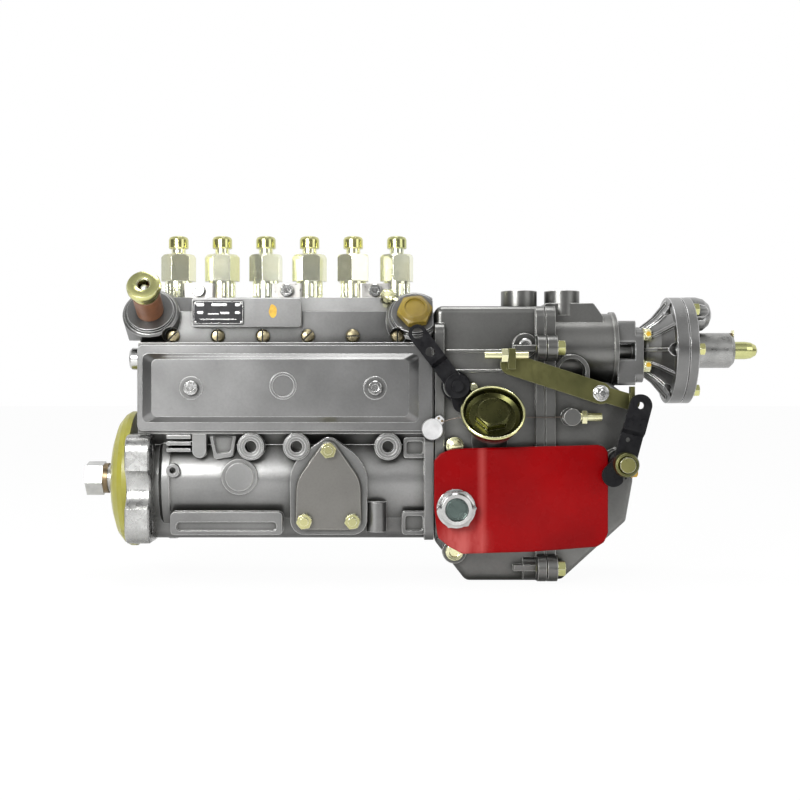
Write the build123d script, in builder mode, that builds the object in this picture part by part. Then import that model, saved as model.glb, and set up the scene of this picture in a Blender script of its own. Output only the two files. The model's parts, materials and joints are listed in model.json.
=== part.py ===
"""Six-cylinder in-line diesel injection pump with governor and boost compensator.

Frame: +X along the camshaft from the drive end to the governor, -Y to the near side with the
side cover, +Z up. The origin is the centre of the drive flange's mounting face, on the
camshaft axis. All sizes are in millimetres.
"""

import math
import os

from build123d import *

os.makedirs("parts", exist_ok=True)

# Clearances
fit_gap = 0.05
seat_gap = 0.1
free_gap = 0.3
thread_gap = 0.1

# Row of pumping elements
element_count = 6
element_pitch = 32.0
first_element_x = 29.0

# Housing
flange_thickness = 17.0
housing_end_x = 214.0
upper_left_x = 7.0
housing_top_z = 131.0
housing_bottom_z = -41.0
cam_bulge_radius = 42.0
cam_bulge_edge_y = -33.0
cam_bulge_edge_z = 26.0
cover_seat_y = -44.0
band_y = -28.0
pad_y = -32.0
back_y = 41.0
back_top_y = 25.0
cam_chamber_radius = 27.0
cam_chamber_end_x = 200.0
bearing_outer_radius = 23.5
bearing_width = 14.0
spring_chamber_bottom_z = 41.0
spring_chamber_top_z = 92.0
spring_chamber_back_y = 24.0
gallery_radius = 5.0
gallery_z = 114.0

# Camshaft and what sits on it
journal_radius = 10.0
cam_base_radius = 12.0
cam_lift = 8.0
cam_width = 12.0
cam_nose_radius = 5.0
cam_phases = (0.0, 120.0, 240.0, 60.0, 180.0, 300.0)
shaft_nose_x = -36.5
nut_across_flats = 22.0
nut_thickness = 12.5
washer_thickness = 3.4
shaft_thread_radius = 7.0

# Drive flange
pilot_radius = 34.0
pilot_length = 10.0
bolt_spacing_y = 94.0
bolt_spacing_z = 53.0
bolt_centre_z = -4.5
flange_hole_radius = 5.5
flange_lobe_radius = 11.5
flange_body_radius = 44.0
flange_top_z = 33.7

# Pumping elements
barrel_head_radius = 10.0
barrel_head_bottom_z = 101.0
barrel_foot_radius = 7.5
barrel_foot_bottom_z = 80.0
barrel_top_z = 121.0
plunger_radius = 4.0
plunger_bottom_z = 43.5
plunger_top_z = 117.0
sleeve_wall = 2.2
sleeve_bottom_z = 60.0
sleeve_top_z = 94.0
quadrant_height = 7.0
quadrant_bottom_z = 83.5
quadrant_circle_teeth = 28
rack_teeth_per_pitch = 11
tooth_addendum = 0.65
tooth_dedendum = 0.95
tooth_backlash = 0.25
pressure_angle = 20.0
rack_radius = 5.0
rack_travel = 21.0
tappet_radius = 10.5
tappet_height = 20.0
tappet_wall = 2.0
roller_radius = 6.5
roller_width = 8.0
valve_radius = 8.0
valve_guide_radius = 3.2

# Delivery valve holders and their caps
holder_radius = 9.85
holder_hex_across_flats = 22.0
holder_collar_top_z = 144.0
holder_hex_top_z = 163.5
holder_top_z = 174.5
holder_neck_radius = 5.35
holder_duct_radius = 1.5
cap_radius = 7.2
cap_bottom_z = 168.0
cap_top_z = 177.0
holder_turns = (14.0, 3.0, 22.0, 9.0, 27.0, 17.0)
serration_count = 18
serration_depth = 0.9

# Lock clamps between the holders
clamp_width = 23.5
clamp_depth = 20.0
socket_screw_radius = 4.7

# Side cover
cover_bottom_z = 36.0
cover_top_z = 96.0
cover_flange_thickness = 2.5
cover_panel_height = 3.5
gasket_thickness = 0.8
cover_screw_x = (45.0, 173.0)
cover_screw_z = 66.0
cover_mark = (109.0, 67.5)

# Bosses and fittings of the gallery
boss_tilt = 30.0
inlet_x = 14.0
inlet_z = 121.0
plug_x = 201.0
plug_z = 119.0
boss_radius = 16.5
boss_face_y = -36.0

# Blanking plate over the feed pump seat
blank_x = 140.5
blank_top_z = 22.6
blank_foot_z = -26.8
blank_foot_dx = 16.75
blank_thickness = 4.0
blank_stud_radius = 3.0
blank_foot_radius = 6.5
blank_seat_y = -44.5

# Governor
governor_left_x = 215.0
governor_split_x = 292.0
governor_near_y = -38.0
governor_far_y = 40.0
governor_top_z = 124.0
governor_bottom_z = -70.0
governor_wall = 6.0
governor_gasket = 0.8
cover_tube_radius = 26.0
cover_tube_z = 94.0
cover_end_x = 346.0

# Levers
stop_pivot = (229.7, 67.4)
stop_tip = (202.2, 103.6)
control_pivot = (343.4, 13.8)
control_tip = (354.1, 54.0)
stop_second_hole = (210.9, 91.0)
control_second_hole = (345.9, 30.6)
lever_thickness = 3.0
stop_lever_y = -60.0
stop_tail_y = -50.0
stop_boss_y = -45.0
control_lever_y = -66.0
lever_shaft_radius = 4.0

# Boost compensator
boost_y = -8.0
boost_z = 93.3
boost_plate_x = 364.5
boost_flange_radius = 38.4
diaphragm_thickness = 0.6
boost_mid_x = 393.7
boost_right_x = 400.0
spring_tube_radius = 12.75
spring_tube_end_x = 432.6

element_xs = [first_element_x + element_pitch * i for i in range(element_count)]
first_x = element_xs[0]
last_x = element_xs[-1]


def along(x, y=0.0, z=0.0):
    """Plane whose normal is +X; its own axes are +Y and +Z."""
    return Plane(origin=(x, y, z), x_dir=(0, 1, 0), z_dir=(1, 0, 0))


def near(x, z, y):
    """Plane that faces the near side (-Y); its own axes are +X and +Z."""
    return Plane(origin=(x, y, z), x_dir=(1, 0, 0), z_dir=(0, -1, 0))


def level(x, y, z):
    """Plane whose normal is +Z."""
    return Plane(origin=(x, y, z), x_dir=(1, 0, 0), z_dir=(0, 0, 1))


def tilted(x, z, y, lift):
    """Plane that faces the near side and looks up by lift degrees."""
    slope = math.radians(lift)
    return Plane(origin=(x, y, z), x_dir=(1, 0, 0), z_dir=(0, -math.cos(slope), math.sin(slope)))


def disc(plane, radius, depth, mode=Mode.ADD):
    """Round boss or bore that starts on the plane."""
    with BuildSketch(plane) as profile:
        Circle(radius)
    extrude(profile.sketch, amount=depth, mode=mode)


def tube(plane, outer, inner, depth, mode=Mode.ADD):
    """Round sleeve that starts on the plane."""
    with BuildSketch(plane) as profile:
        Circle(outer)
        Circle(inner, mode=Mode.SUBTRACT)
    extrude(profile.sketch, amount=depth, mode=mode)


def block(plane, width, height, depth, corner=0.0, mode=Mode.ADD):
    """Rectangular prism, with rounded upright edges if corner is given."""
    with BuildSketch(plane) as profile:
        if corner > 0:
            RectangleRounded(width, height, corner)
        else:
            Rectangle(width, height)
    extrude(profile.sketch, amount=depth, mode=mode)


def hexagon(plane, across_flats, depth, turn=0.0, mode=Mode.ADD):
    """Hexagonal prism."""
    with BuildSketch(plane) as profile:
        RegularPolygon(across_flats / 2, 6, major_radius=False, rotation=turn)
    extrude(profile.sketch, amount=depth, mode=mode)


def crowned_hexagon(plane, across_flats, depth, turn=0.0):
    """Hexagonal prism whose corners are turned down at its far end."""
    hexagon(plane, across_flats, depth, turn)
    corner_radius = across_flats * 0.6
    crown_radius = across_flats * 0.48
    drop = (corner_radius - crown_radius) * math.tan(math.radians(30))
    turned(
        plane.offset(depth),
        [(crown_radius, 0.1), (corner_radius, 0.1), (corner_radius, -drop), (crown_radius, 0)],
        mode=Mode.SUBTRACT,
    )


def outline(plane, points, depth, mode=Mode.ADD):
    """Prism on a closed outline of straight runs."""
    with BuildSketch(plane) as profile:
        with BuildLine():
            Polyline(*points, close=True)
        make_face()
    extrude(profile.sketch, amount=depth, mode=mode)


def rounded_outline(plane, points, radius, depth, mode=Mode.ADD):
    """Prism on a closed outline with rounded corners."""
    with BuildSketch(plane) as profile:
        with BuildLine():
            Polyline(*points, close=True)
        make_face()
        fillet(profile.vertices(), radius)
    extrude(profile.sketch, amount=depth, mode=mode)


def turned(plane, points, mode=Mode.ADD):
    """Turned shape about the plane's normal; the points are (radius, height)."""
    section = Plane(origin=plane.origin, x_dir=plane.x_dir, z_dir=-plane.y_dir)
    with BuildSketch(section) as profile:
        with BuildLine():
            Polyline(*points, close=True)
        make_face()
    revolve(profile.sketch, axis=Axis(plane.origin, plane.z_dir), mode=mode)


def strip(plane, start, end, width, depth, mode=Mode.ADD):
    """Flat bar with round ends from start to end, given in the plane."""
    centre = ((start[0] + end[0]) / 2, (start[1] + end[1]) / 2)
    length = math.hypot(end[0] - start[0], end[1] - start[1])
    slope = math.degrees(math.atan2(end[1] - start[1], end[0] - start[0]))
    with BuildSketch(plane) as profile:
        with Locations(Location((centre[0], centre[1], 0), (0, 0, slope))):
            SlotCenterToCenter(length, width)
    extrude(profile.sketch, amount=depth, mode=mode)


def save(piece, name):
    """Label a finished piece and write it."""
    piece.part.label = name
    export_step(piece.part, f"parts/{name}.step")


# Pump housing
housing_left_x = flange_thickness
lower_near_y = -cam_bulge_radius
pad_corner_z = 120.6
tooth_pitch = element_pitch / rack_teeth_per_pitch
pitch_line_radius = tooth_pitch * quadrant_circle_teeth / (2 * math.pi)
spring_chamber_left_x = first_x - element_pitch / 2 + 1.5
spring_chamber_right_x = last_x + element_pitch / 2 - 1.5
spring_chamber_length = spring_chamber_right_x - spring_chamber_left_x
spring_chamber_x = (spring_chamber_left_x + spring_chamber_right_x) / 2
spring_chamber_height = spring_chamber_top_z - spring_chamber_bottom_z
spring_chamber_z = (spring_chamber_bottom_z + spring_chamber_top_z) / 2
rack_y = -(pitch_line_radius - tooth_addendum + rack_radius)
rack_z = quadrant_bottom_z + quadrant_height / 2
tappet_bore_bottom_z = math.sqrt(cam_chamber_radius**2 - tappet_radius**2) - 1
barrel_screw_z = 103.0
cover_left_x = upper_left_x
cover_right_x = housing_end_x - 1
cover_centre_x = (cover_left_x + cover_right_x) / 2
cover_centre_z = (cover_bottom_z + cover_top_z) / 2
cover_length = cover_right_x - cover_left_x
cover_height = cover_top_z - cover_bottom_z
cover_screw_radius = 3.0
cover_post_radius = 5.4
wall_root = 13.0
boss_root = 26.0
boss_step = 3.5
boss_stand = 4.0
boss_xs = (86.0, 118.0, 182.0)
boss_z = 25.0
small_boss = (31.4, 8.3)
flat_boss = (78.0, 3.7)
foot_ledge_x = (29.6, 108.0)


def housing_section(plane, length, bottom_z):
    """Block of the housing's cross-section above bottom_z, with the round cam chamber bulge."""
    with BuildSketch(plane) as section:
        with BuildLine():
            bulge = ThreePointArc(
                (cam_bulge_edge_y, -cam_bulge_edge_z),
                (lower_near_y, 0),
                (cam_bulge_edge_y, cam_bulge_edge_z),
            )
            upper = Polyline(
                bulge @ 1,
                (cover_seat_y, cover_bottom_z - 2),
                (cover_seat_y, cover_top_z + 2),
                (band_y, cover_top_z + 2),
                (band_y, pad_corner_z),
                (band_y + 7, housing_top_z),
                (back_top_y, housing_top_z),
                (back_top_y + 5, housing_top_z - 19),
                (back_top_y + 6, spring_chamber_top_z),
                (back_y, spring_chamber_top_z - 14),
            )
            Polyline(
                upper @ 1,
                (back_y, -cam_bulge_edge_z),
                (30, housing_bottom_z),
                (-30, housing_bottom_z),
                bulge @ 0,
            )
        make_face()
        fillet(section.vertices().group_by(Axis.Y)[0], 8)
        trim_height = bottom_z - housing_bottom_z
        if trim_height > 0:
            with Locations((0, housing_bottom_z + trim_height / 2)):
                Rectangle(4 * cam_bulge_radius, trim_height, mode=Mode.SUBTRACT)
    extrude(section.sketch, amount=length)


def wall_boss(x, z, radius, stand):
    """Round boss that stands out from the near wall of the cam chamber."""
    disc(near(x, z, lower_near_y - stand), radius, -stand - wall_root)


with BuildPart() as pump_housing:
    housing_section(along(housing_left_x), housing_end_x - housing_left_x, housing_bottom_z)
    housing_section(along(upper_left_x), housing_left_x - upper_left_x, cover_bottom_z - 2)
    # Round end flange at the drive end, coned towards the drive flange
    turned(
        along(housing_left_x),
        [
            (20, 0),
            (flange_body_radius - 5, 0),
            (flange_body_radius, 6.4),
            (flange_body_radius, 11.7),
            (20, 11.7),
        ],
    )
    # End flange at the governor
    rounded_outline(
        along(housing_end_x - 6.4),
        [(-46, housing_bottom_z), (46, housing_bottom_z), (46, 34), (-46, 34)],
        8,
        6.4,
    )
    # Ledge along the foot of the near side, with its slot
    ledge_centre_x = sum(foot_ledge_x) / 2
    ledge_length = foot_ledge_x[1] - foot_ledge_x[0]
    block(near(ledge_centre_x, -29, lower_near_y - 2), ledge_length, 16, -wall_root - 2, 3)
    block(near(ledge_centre_x, -31, lower_near_y - 2), ledge_length - 8, 6, -2.5, 2.5, mode=Mode.SUBTRACT)
    # Half-round pillar beside the feed pump seat
    disc(level(174, lower_near_y + 3, -35), 7, 21)
    block(near(174, -24.5, lower_near_y + 2), 14, 21, -9)
    # Threaded bosses with a step, flat casting boss and a small screw boss
    for boss_x in boss_xs:
        wall_boss(boss_x, boss_z, 9.4, boss_stand)
        tube(near(boss_x, boss_z, lower_near_y - boss_stand - 0.6), 8.2, 6.2, -2)
    wall_boss(*flat_boss, 12.6, 1.5)
    wall_boss(*flat_boss, 9.8, 3)
    wall_boss(*small_boss, 4.6, boss_stand)
    # Stack of stiffening ribs, hanging boss and casting pockets under the cover
    for rib_z in (22.5, 27.0, 31.5):
        block(near(35.2, rib_z, lower_near_y - 1), 17, 2.4, -wall_root)
    strip(near(0, 0, lower_near_y - 1.5), (49.7, 36), (49.7, 22), 9.8, -wall_root)
    pocket_shapes = (
        [(56, 36), (76, 36), (73, 18), (60, 16)],
        [(193, 31), (209, 31), (209, 17), (193, 17)],
        [(192, -21), (209, -21), (209, -37), (192, -37)],
    )
    for points in pocket_shapes:
        centre_x = sum(x for x, z in points) / 4
        centre_z = sum(z for x, z in points) / 4
        inner = [(centre_x + (x - centre_x) * 0.74, centre_z + (z - centre_z) * 0.66) for x, z in points]
        rounded_outline(near(0, 0, lower_near_y + 1), points, 2, -wall_root)
        rounded_outline(near(0, 0, lower_near_y + 1), inner, 2, -3.5, mode=Mode.SUBTRACT)
    # Raised seat for the blanking plate
    with BuildSketch(near(0, 0, blank_seat_y)) as blank_seat:
        for seat_x, seat_z, seat_radius in (
            (blank_x, blank_top_z, 8.5),
            (blank_x, 0, 27),
            (blank_x - blank_foot_dx, blank_foot_z, 10),
            (blank_x + blank_foot_dx, blank_foot_z, 10),
        ):
            with Locations((seat_x, seat_z)):
                Circle(seat_radius)
        make_hull(blank_seat.edges())
    extrude(blank_seat.sketch, amount=-wall_root)
    # Name plate pad with its lip
    block(near(81.75, 119.5, band_y), 77.5, 20.5, band_y - pad_y, 2)
    # Round gallery bosses that look up, with a stepped edge, and the block behind the plug
    for boss_x, boss_face_z in ((inlet_x, inlet_z), (plug_x, plug_z)):
        turned(
            tilted(boss_x, boss_face_z, boss_face_y, boss_tilt),
            [
                (0, -boss_root),
                (boss_radius + boss_step, -boss_root),
                (boss_radius + boss_step, -4),
                (boss_radius + 2, -2.6),
                (boss_radius, -2.6),
                (boss_radius, 0),
                (0, 0),
            ],
        )
    block(near(204, 118, band_y - 1.5), 20, 22, -20, 2)
    for boss_x in boss_xs:
        disc(near(boss_x, boss_z, lower_near_y - boss_stand - 1), 4.1, -14, mode=Mode.SUBTRACT)
    disc(near(*small_boss, lower_near_y - boss_stand), 2.3, -8, mode=Mode.SUBTRACT)
    # Keep the bosses inside the housing's end planes
    block(along(upper_left_x), 200, 200, -40, mode=Mode.SUBTRACT)
    block(along(housing_end_x, 0, 60), 200, 260, 40, mode=Mode.SUBTRACT)
    # Spring chamber, open to the near side
    block(
        near(spring_chamber_x, spring_chamber_z, cover_seat_y),
        spring_chamber_length,
        spring_chamber_height,
        cover_seat_y - spring_chamber_back_y,
        2.5,
        mode=Mode.SUBTRACT,
    )
    # Cam chamber and bearing seat
    disc(
        along(housing_left_x),
        cam_chamber_radius,
        cam_chamber_end_x - housing_left_x,
        mode=Mode.SUBTRACT,
    )
    disc(
        along(cam_chamber_end_x),
        bearing_outer_radius,
        housing_end_x - cam_chamber_end_x,
        mode=Mode.SUBTRACT,
    )
    # Fuel gallery on the near side of the barrels and rack bore
    disc(along(upper_left_x + 6, -12, gallery_z), gallery_radius, 194, mode=Mode.SUBTRACT)
    disc(
        along(upper_left_x, rack_y, rack_z),
        rack_radius + fit_gap,
        housing_end_x - upper_left_x,
        mode=Mode.SUBTRACT,
    )
    disc(tilted(inlet_x, inlet_z, boss_face_y, boss_tilt), 6 + thread_gap, -26, mode=Mode.SUBTRACT)
    disc(tilted(plug_x, plug_z, boss_face_y, boss_tilt), 8 + thread_gap, -12, mode=Mode.SUBTRACT)
    for element_x in element_xs:
        disc(
            level(element_x, 0, tappet_bore_bottom_z - 6),
            tappet_radius + fit_gap,
            spring_chamber_bottom_z - tappet_bore_bottom_z + 7,
            mode=Mode.SUBTRACT,
        )
        disc(
            level(element_x, 0, barrel_head_bottom_z),
            holder_radius + thread_gap + 0.15,
            housing_top_z - barrel_head_bottom_z,
            mode=Mode.SUBTRACT,
        )
        disc(
            level(element_x, 0, spring_chamber_top_z - 1),
            barrel_foot_radius + seat_gap,
            barrel_head_bottom_z - spring_chamber_top_z + 1,
            mode=Mode.SUBTRACT,
        )
        disc(near(element_x, barrel_screw_z, band_y), 3 + thread_gap, -19, mode=Mode.SUBTRACT)
        disc(near(element_x, barrel_screw_z, band_y), 5.8, 14, mode=Mode.SUBTRACT)
    for screw_x in cover_screw_x:
        disc(near(screw_x, cover_screw_z, cover_seat_y + 6), cover_post_radius, -62)
    for screw_x in cover_screw_x:
        disc(
            near(screw_x, cover_screw_z, cover_seat_y + 6),
            cover_screw_radius + thread_gap,
            -16,
            mode=Mode.SUBTRACT,
        )
save(pump_housing, "pump_housing")

# Drive flange: lobed plate with the front bearing, its spigot and its pilot
hole_points = [
    (side * bolt_spacing_y / 2, bolt_centre_z + level_side * bolt_spacing_z / 2)
    for side in (-1, 1)
    for level_side in (-1, 1)
]
seal_radius = 16.0
bearing_front_x = flange_thickness - bearing_width
seal_width = 7.0
with BuildPart() as drive_flange:
    with BuildSketch(along(0)) as flange_face:
        Circle(flange_body_radius - 5)
        for lobe_y, lobe_z in hole_points:
            with Locations((lobe_y, lobe_z)):
                Circle(flange_lobe_radius)
        make_hull(flange_face.edges())
    extrude(amount=flange_thickness)
    with BuildSketch(along(0)) as flange_waist:
        with Locations((0, -flange_body_radius - 22), (0, flange_body_radius + 12)):
            Circle(24)
        side_waist_y = bolt_spacing_y / 2 + flange_lobe_radius + 9
        with Locations((-side_waist_y, bolt_centre_z), (side_waist_y, bolt_centre_z)):
            Circle(16)
    extrude(amount=flange_thickness, mode=Mode.SUBTRACT)
    block(along(0, 0, flange_top_z + 20), 200, 40, flange_thickness, mode=Mode.SUBTRACT)
    chamfer(drive_flange.faces().sort_by(Axis.X)[-1].edges(), 1.2)
    chamfer(drive_flange.faces().sort_by(Axis.X)[0].edges(), 0.8)
    disc(along(0), pilot_radius, -pilot_length)
    disc(along(-pilot_length), seal_radius, seal_width, mode=Mode.SUBTRACT)
    disc(along(-pilot_length), journal_radius + 1.0, pilot_length + flange_thickness, mode=Mode.SUBTRACT)
    disc(along(bearing_front_x), bearing_outer_radius, bearing_width, mode=Mode.SUBTRACT)
    for lobe_y, lobe_z in hole_points:
        disc(along(0, lobe_y, lobe_z), flange_hole_radius, flange_thickness, mode=Mode.SUBTRACT)
save(drive_flange, "drive_flange")

# Shaft seal and bearings
with BuildPart() as shaft_seal:
    tube(along(-pilot_length), seal_radius - fit_gap, journal_radius + fit_gap, seal_width)
save(shaft_seal, "shaft_seal")

bearing_back_x = cam_chamber_end_x
race_split = 15.5
with BuildPart() as bearing_outer_races:
    for bearing_x in (bearing_front_x, bearing_back_x):
        tube(along(bearing_x), bearing_outer_radius, 20.5, bearing_width)
save(bearing_outer_races, "bearing_outer_races")

with BuildPart() as bearing_inner_races:
    for bearing_x in (bearing_front_x, bearing_back_x):
        tube(along(bearing_x), race_split, journal_radius, bearing_width)
        for index in range(9):
            angle = math.radians(40 * index)
            disc(
                along(bearing_x + 2, 17.9 * math.cos(angle), 17.9 * math.sin(angle)),
                2.45,
                bearing_width - 4,
            )
save(bearing_inner_races, "bearing_inner_races")

# Camshaft with six cams, journals, and a threaded nose
shaft_end_x = 226.0
sleeve_guide_radius = 4.0
with BuildPart() as camshaft:
    turned(
        along(shaft_nose_x),
        [
            (0, 0),
            (shaft_thread_radius - 1, 0),
            (shaft_thread_radius, 1),
            (shaft_thread_radius, 14.9),
            (journal_radius, 14.9),
            (journal_radius, shaft_end_x - shaft_nose_x - 9),
            (7, shaft_end_x - shaft_nose_x - 9),
            (7, shaft_end_x - shaft_nose_x),
            (sleeve_guide_radius, shaft_end_x - shaft_nose_x),
            (sleeve_guide_radius, shaft_end_x - shaft_nose_x + 24),
            (0, shaft_end_x - shaft_nose_x + 24),
        ],
    )
    for element_x, phase in zip(element_xs, cam_phases):
        turn = math.radians(90 + phase)
        nose = cam_base_radius + cam_lift - cam_nose_radius
        with BuildSketch(along(element_x - cam_width / 2)) as cam_face:
            Circle(cam_base_radius)
            with Locations((nose * math.cos(turn), nose * math.sin(turn))):
                Circle(cam_nose_radius)
            make_hull(cam_face.edges())
        extrude(amount=cam_width)
    # Feed pump eccentric between the third and fourth elements
    with BuildSketch(along(blank_x - 35.5)) as eccentric_face:
        with Locations((2.5, 0)):
            Circle(13)
    extrude(amount=6)
save(camshaft, "camshaft")

# Shaft nut and spring washer
nut_left_x = shaft_nose_x + 14.9 - washer_thickness - nut_thickness
with BuildPart() as shaft_nut:
    with BuildSketch(along(nut_left_x)) as nut_face:
        RegularPolygon(nut_across_flats / 2, 6, major_radius=False, rotation=12)
    extrude(amount=nut_thickness)
    disc(along(nut_left_x), shaft_thread_radius, nut_thickness, mode=Mode.SUBTRACT)
    chamfer(shaft_nut.edges().filter_by(GeomType.CIRCLE).sort_by(Axis.X)[:1], 0.8)
save(shaft_nut, "shaft_nut")

with BuildPart() as shaft_washer:
    tube(along(nut_left_x + nut_thickness), 11, shaft_thread_radius, washer_thickness)
save(shaft_washer, "shaft_washer")

# Transport cap over the pilot
cap_outer = 49.0
with BuildPart() as drive_cap:
    turned(
        along(0),
        [
            (pilot_radius + free_gap, -0.2),
            (cap_outer, -0.2),
            (cap_outer, -4),
            (cap_outer - 2, -7.5),
            (cap_outer - 7, -11.5),
            (cap_outer - 16, -14.6),
            (cap_outer - 28, -16.6),
            (journal_radius + 1.5, -16.8),
            (journal_radius + 1.5, -14.4),
            (cap_outer - 28, -14.2),
            (cap_outer - 17, -12.4),
            (pilot_radius + free_gap, -11),
        ],
    )
save(drive_cap, "drive_cap")

# Side cover over the spring chamber
with BuildPart() as side_cover_gasket:
    block(
        near(cover_centre_x, cover_centre_z, cover_seat_y),
        cover_length - 1,
        cover_height - 1,
        gasket_thickness,
        5,
    )
    block(
        near(spring_chamber_x, spring_chamber_z, cover_seat_y),
        spring_chamber_length,
        spring_chamber_height,
        gasket_thickness,
        5,
        mode=Mode.SUBTRACT,
    )
    for screw_x in cover_screw_x:
        disc(near(screw_x, cover_screw_z, cover_seat_y), 6, gasket_thickness)
        disc(
            near(screw_x, cover_screw_z, cover_seat_y),
            cover_screw_radius + seat_gap,
            gasket_thickness,
            mode=Mode.SUBTRACT,
        )
save(side_cover_gasket, "side_cover_gasket")

cover_back_y = cover_seat_y - gasket_thickness
panel_y = cover_back_y - cover_flange_thickness
with BuildPart() as side_cover:
    block(
        near(cover_centre_x, cover_centre_z, cover_back_y),
        cover_length,
        cover_height,
        cover_flange_thickness,
        4,
    )
    with BuildSketch(near(cover_centre_x - 3, cover_centre_z, panel_y)) as panel_foot:
        RectangleRounded(cover_length - 13, cover_height - 12, 4)
    with BuildSketch(near(cover_centre_x - 3, cover_centre_z, panel_y - cover_panel_height)) as panel_face:
        RectangleRounded(cover_length - 27, cover_height - 20, 4)
    loft([panel_foot.sketch.face(), panel_face.sketch.face()])
    # Pressed from sheet: hollow behind the panel
    block(
        near(spring_chamber_x, spring_chamber_z, cover_back_y),
        spring_chamber_length - 12,
        spring_chamber_height - 8,
        cover_flange_thickness + cover_panel_height - 2,
        5,
        mode=Mode.SUBTRACT,
    )
    for screw_x in cover_screw_x:
        disc(near(screw_x, cover_screw_z, cover_back_y), 8, cover_flange_thickness + cover_panel_height + 0.4)
        disc(near(screw_x, cover_screw_z, cover_back_y), cover_screw_radius + seat_gap, 9, mode=Mode.SUBTRACT)
    disc(near(*cover_mark, panel_y - cover_panel_height), 9.3, 0.5)
    disc(near(*cover_mark, panel_y - cover_panel_height), 7.6, 0.5, mode=Mode.SUBTRACT)
save(side_cover, "side_cover")

# Barrels, delivery valves, holders and caps
with BuildPart() as barrels:
    for element_x in element_xs:
        turned(
            level(element_x, 0, 0),
            [
                (plunger_radius, barrel_foot_bottom_z),
                (barrel_foot_radius, barrel_foot_bottom_z),
                (barrel_foot_radius, barrel_head_bottom_z),
                (barrel_head_radius, barrel_head_bottom_z),
                (barrel_head_radius, barrel_top_z),
                (plunger_radius, barrel_top_z),
            ],
        )
        disc(near(element_x, gallery_z, -barrel_head_radius - 1), 1.5, -8, mode=Mode.SUBTRACT)
        disc(near(element_x, barrel_screw_z, -barrel_head_radius - 1), 2.5, -3, mode=Mode.SUBTRACT)
save(barrels, "barrels")

with BuildPart() as delivery_valves:
    for element_x in element_xs:
        turned(
            level(element_x, 0, barrel_top_z),
            [
                (valve_guide_radius, 0),
                (valve_radius, 0),
                (valve_radius, 4),
                (valve_guide_radius + 2.4, 4),
                (valve_guide_radius + 2.4, 8),
                (valve_guide_radius + 1.2, 8),
                (valve_guide_radius, 6.4),
            ],
        )
        turned(
            level(element_x, 0, barrel_top_z),
            [
                (0, 0.5),
                (valve_guide_radius - fit_gap, 0.5),
                (valve_guide_radius - fit_gap, 6.5),
                (valve_guide_radius + 1, 8.2),
                (valve_guide_radius + 1, 9.4),
                (2, 9.4),
                (2, 13),
                (0, 13),
            ],
        )
save(delivery_valves, "delivery_valves")

holder_bottom_z = barrel_top_z + 4
collar_height = holder_collar_top_z - housing_top_z - 4
with BuildPart() as delivery_valve_holders:
    for element_x, turn in zip(element_xs, holder_turns):
        disc(level(element_x, 0, holder_bottom_z), holder_radius, holder_collar_top_z - holder_bottom_z)
        with BuildSketch(level(element_x, 0, holder_collar_top_z)) as hex_foot:
            RegularPolygon(holder_hex_across_flats / 2, 6, major_radius=False, rotation=turn)
        extrude(hex_foot.sketch, amount=holder_hex_top_z - holder_collar_top_z)
        turned(
            level(element_x, 0, holder_hex_top_z),
            [
                (0, 0),
                (holder_neck_radius + 1.4, 0),
                (holder_neck_radius, 1.2),
                (holder_neck_radius, holder_top_z - holder_hex_top_z - 1),
                (holder_neck_radius - 2, holder_top_z - holder_hex_top_z),
                (0, holder_top_z - holder_hex_top_z),
            ],
        )
        disc(
            level(element_x, 0, holder_bottom_z),
            6.2,
            26,
            mode=Mode.SUBTRACT,
        )
        disc(
            level(element_x, 0, holder_bottom_z),
            holder_duct_radius,
            holder_top_z - holder_bottom_z,
            mode=Mode.SUBTRACT,
        )
        # Crown the corners of the hexagon
        turned(
            level(element_x, 0, holder_hex_top_z - 2.2),
            [(12.8, 0), (16, 0), (16, 2.4), (11.0, 2.4)],
            mode=Mode.SUBTRACT,
        )
        # Serrated locking collar
        with BuildSketch(level(element_x, 0, housing_top_z + 2)) as serration:
            with PolarLocations(holder_radius + 0.3, serration_count):
                Circle(serration_depth)
        extrude(serration.sketch, amount=collar_height, mode=Mode.SUBTRACT)
save(delivery_valve_holders, "delivery_valve_holders")

with BuildPart() as outlet_caps:
    for element_x in element_xs:
        turned(
            level(element_x, 0, cap_bottom_z),
            [
                (holder_neck_radius + thread_gap, 0),
                (cap_radius - 0.5, 0),
                (cap_radius, 0.6),
                (cap_radius, 6.6),
                (cap_radius - 0.8, 8.2),
                (cap_radius - 2.6, cap_top_z - cap_bottom_z),
                (0, cap_top_z - cap_bottom_z),
                (0, 6.9),
                (holder_neck_radius + thread_gap, 6.9),
            ],
        )
save(outlet_caps, "outlet_caps")

# Lock clamps between pairs of holders, with their screws
clamp_xs = [(element_xs[i] + element_xs[i + 1]) / 2 for i in (0, 2, 4)]
clamp_bottom_z = housing_top_z + 0.3
clamp_height = holder_collar_top_z - clamp_bottom_z - 2
clamp_screw_z = clamp_bottom_z + clamp_height / 2
with BuildPart() as lock_clamps:
    for clamp_x in clamp_xs:
        block(level(clamp_x, 0, clamp_bottom_z), clamp_width, clamp_depth, clamp_height, 2)
        for side in (-1, 1):
            disc(
                level(clamp_x + side * element_pitch / 2, 0, clamp_bottom_z),
                holder_radius + free_gap,
                clamp_height,
                mode=Mode.SUBTRACT,
            )
        disc(near(clamp_x, clamp_screw_z, -clamp_depth / 2), 3.2, -clamp_depth, mode=Mode.SUBTRACT)
save(lock_clamps, "lock_clamps")


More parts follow.
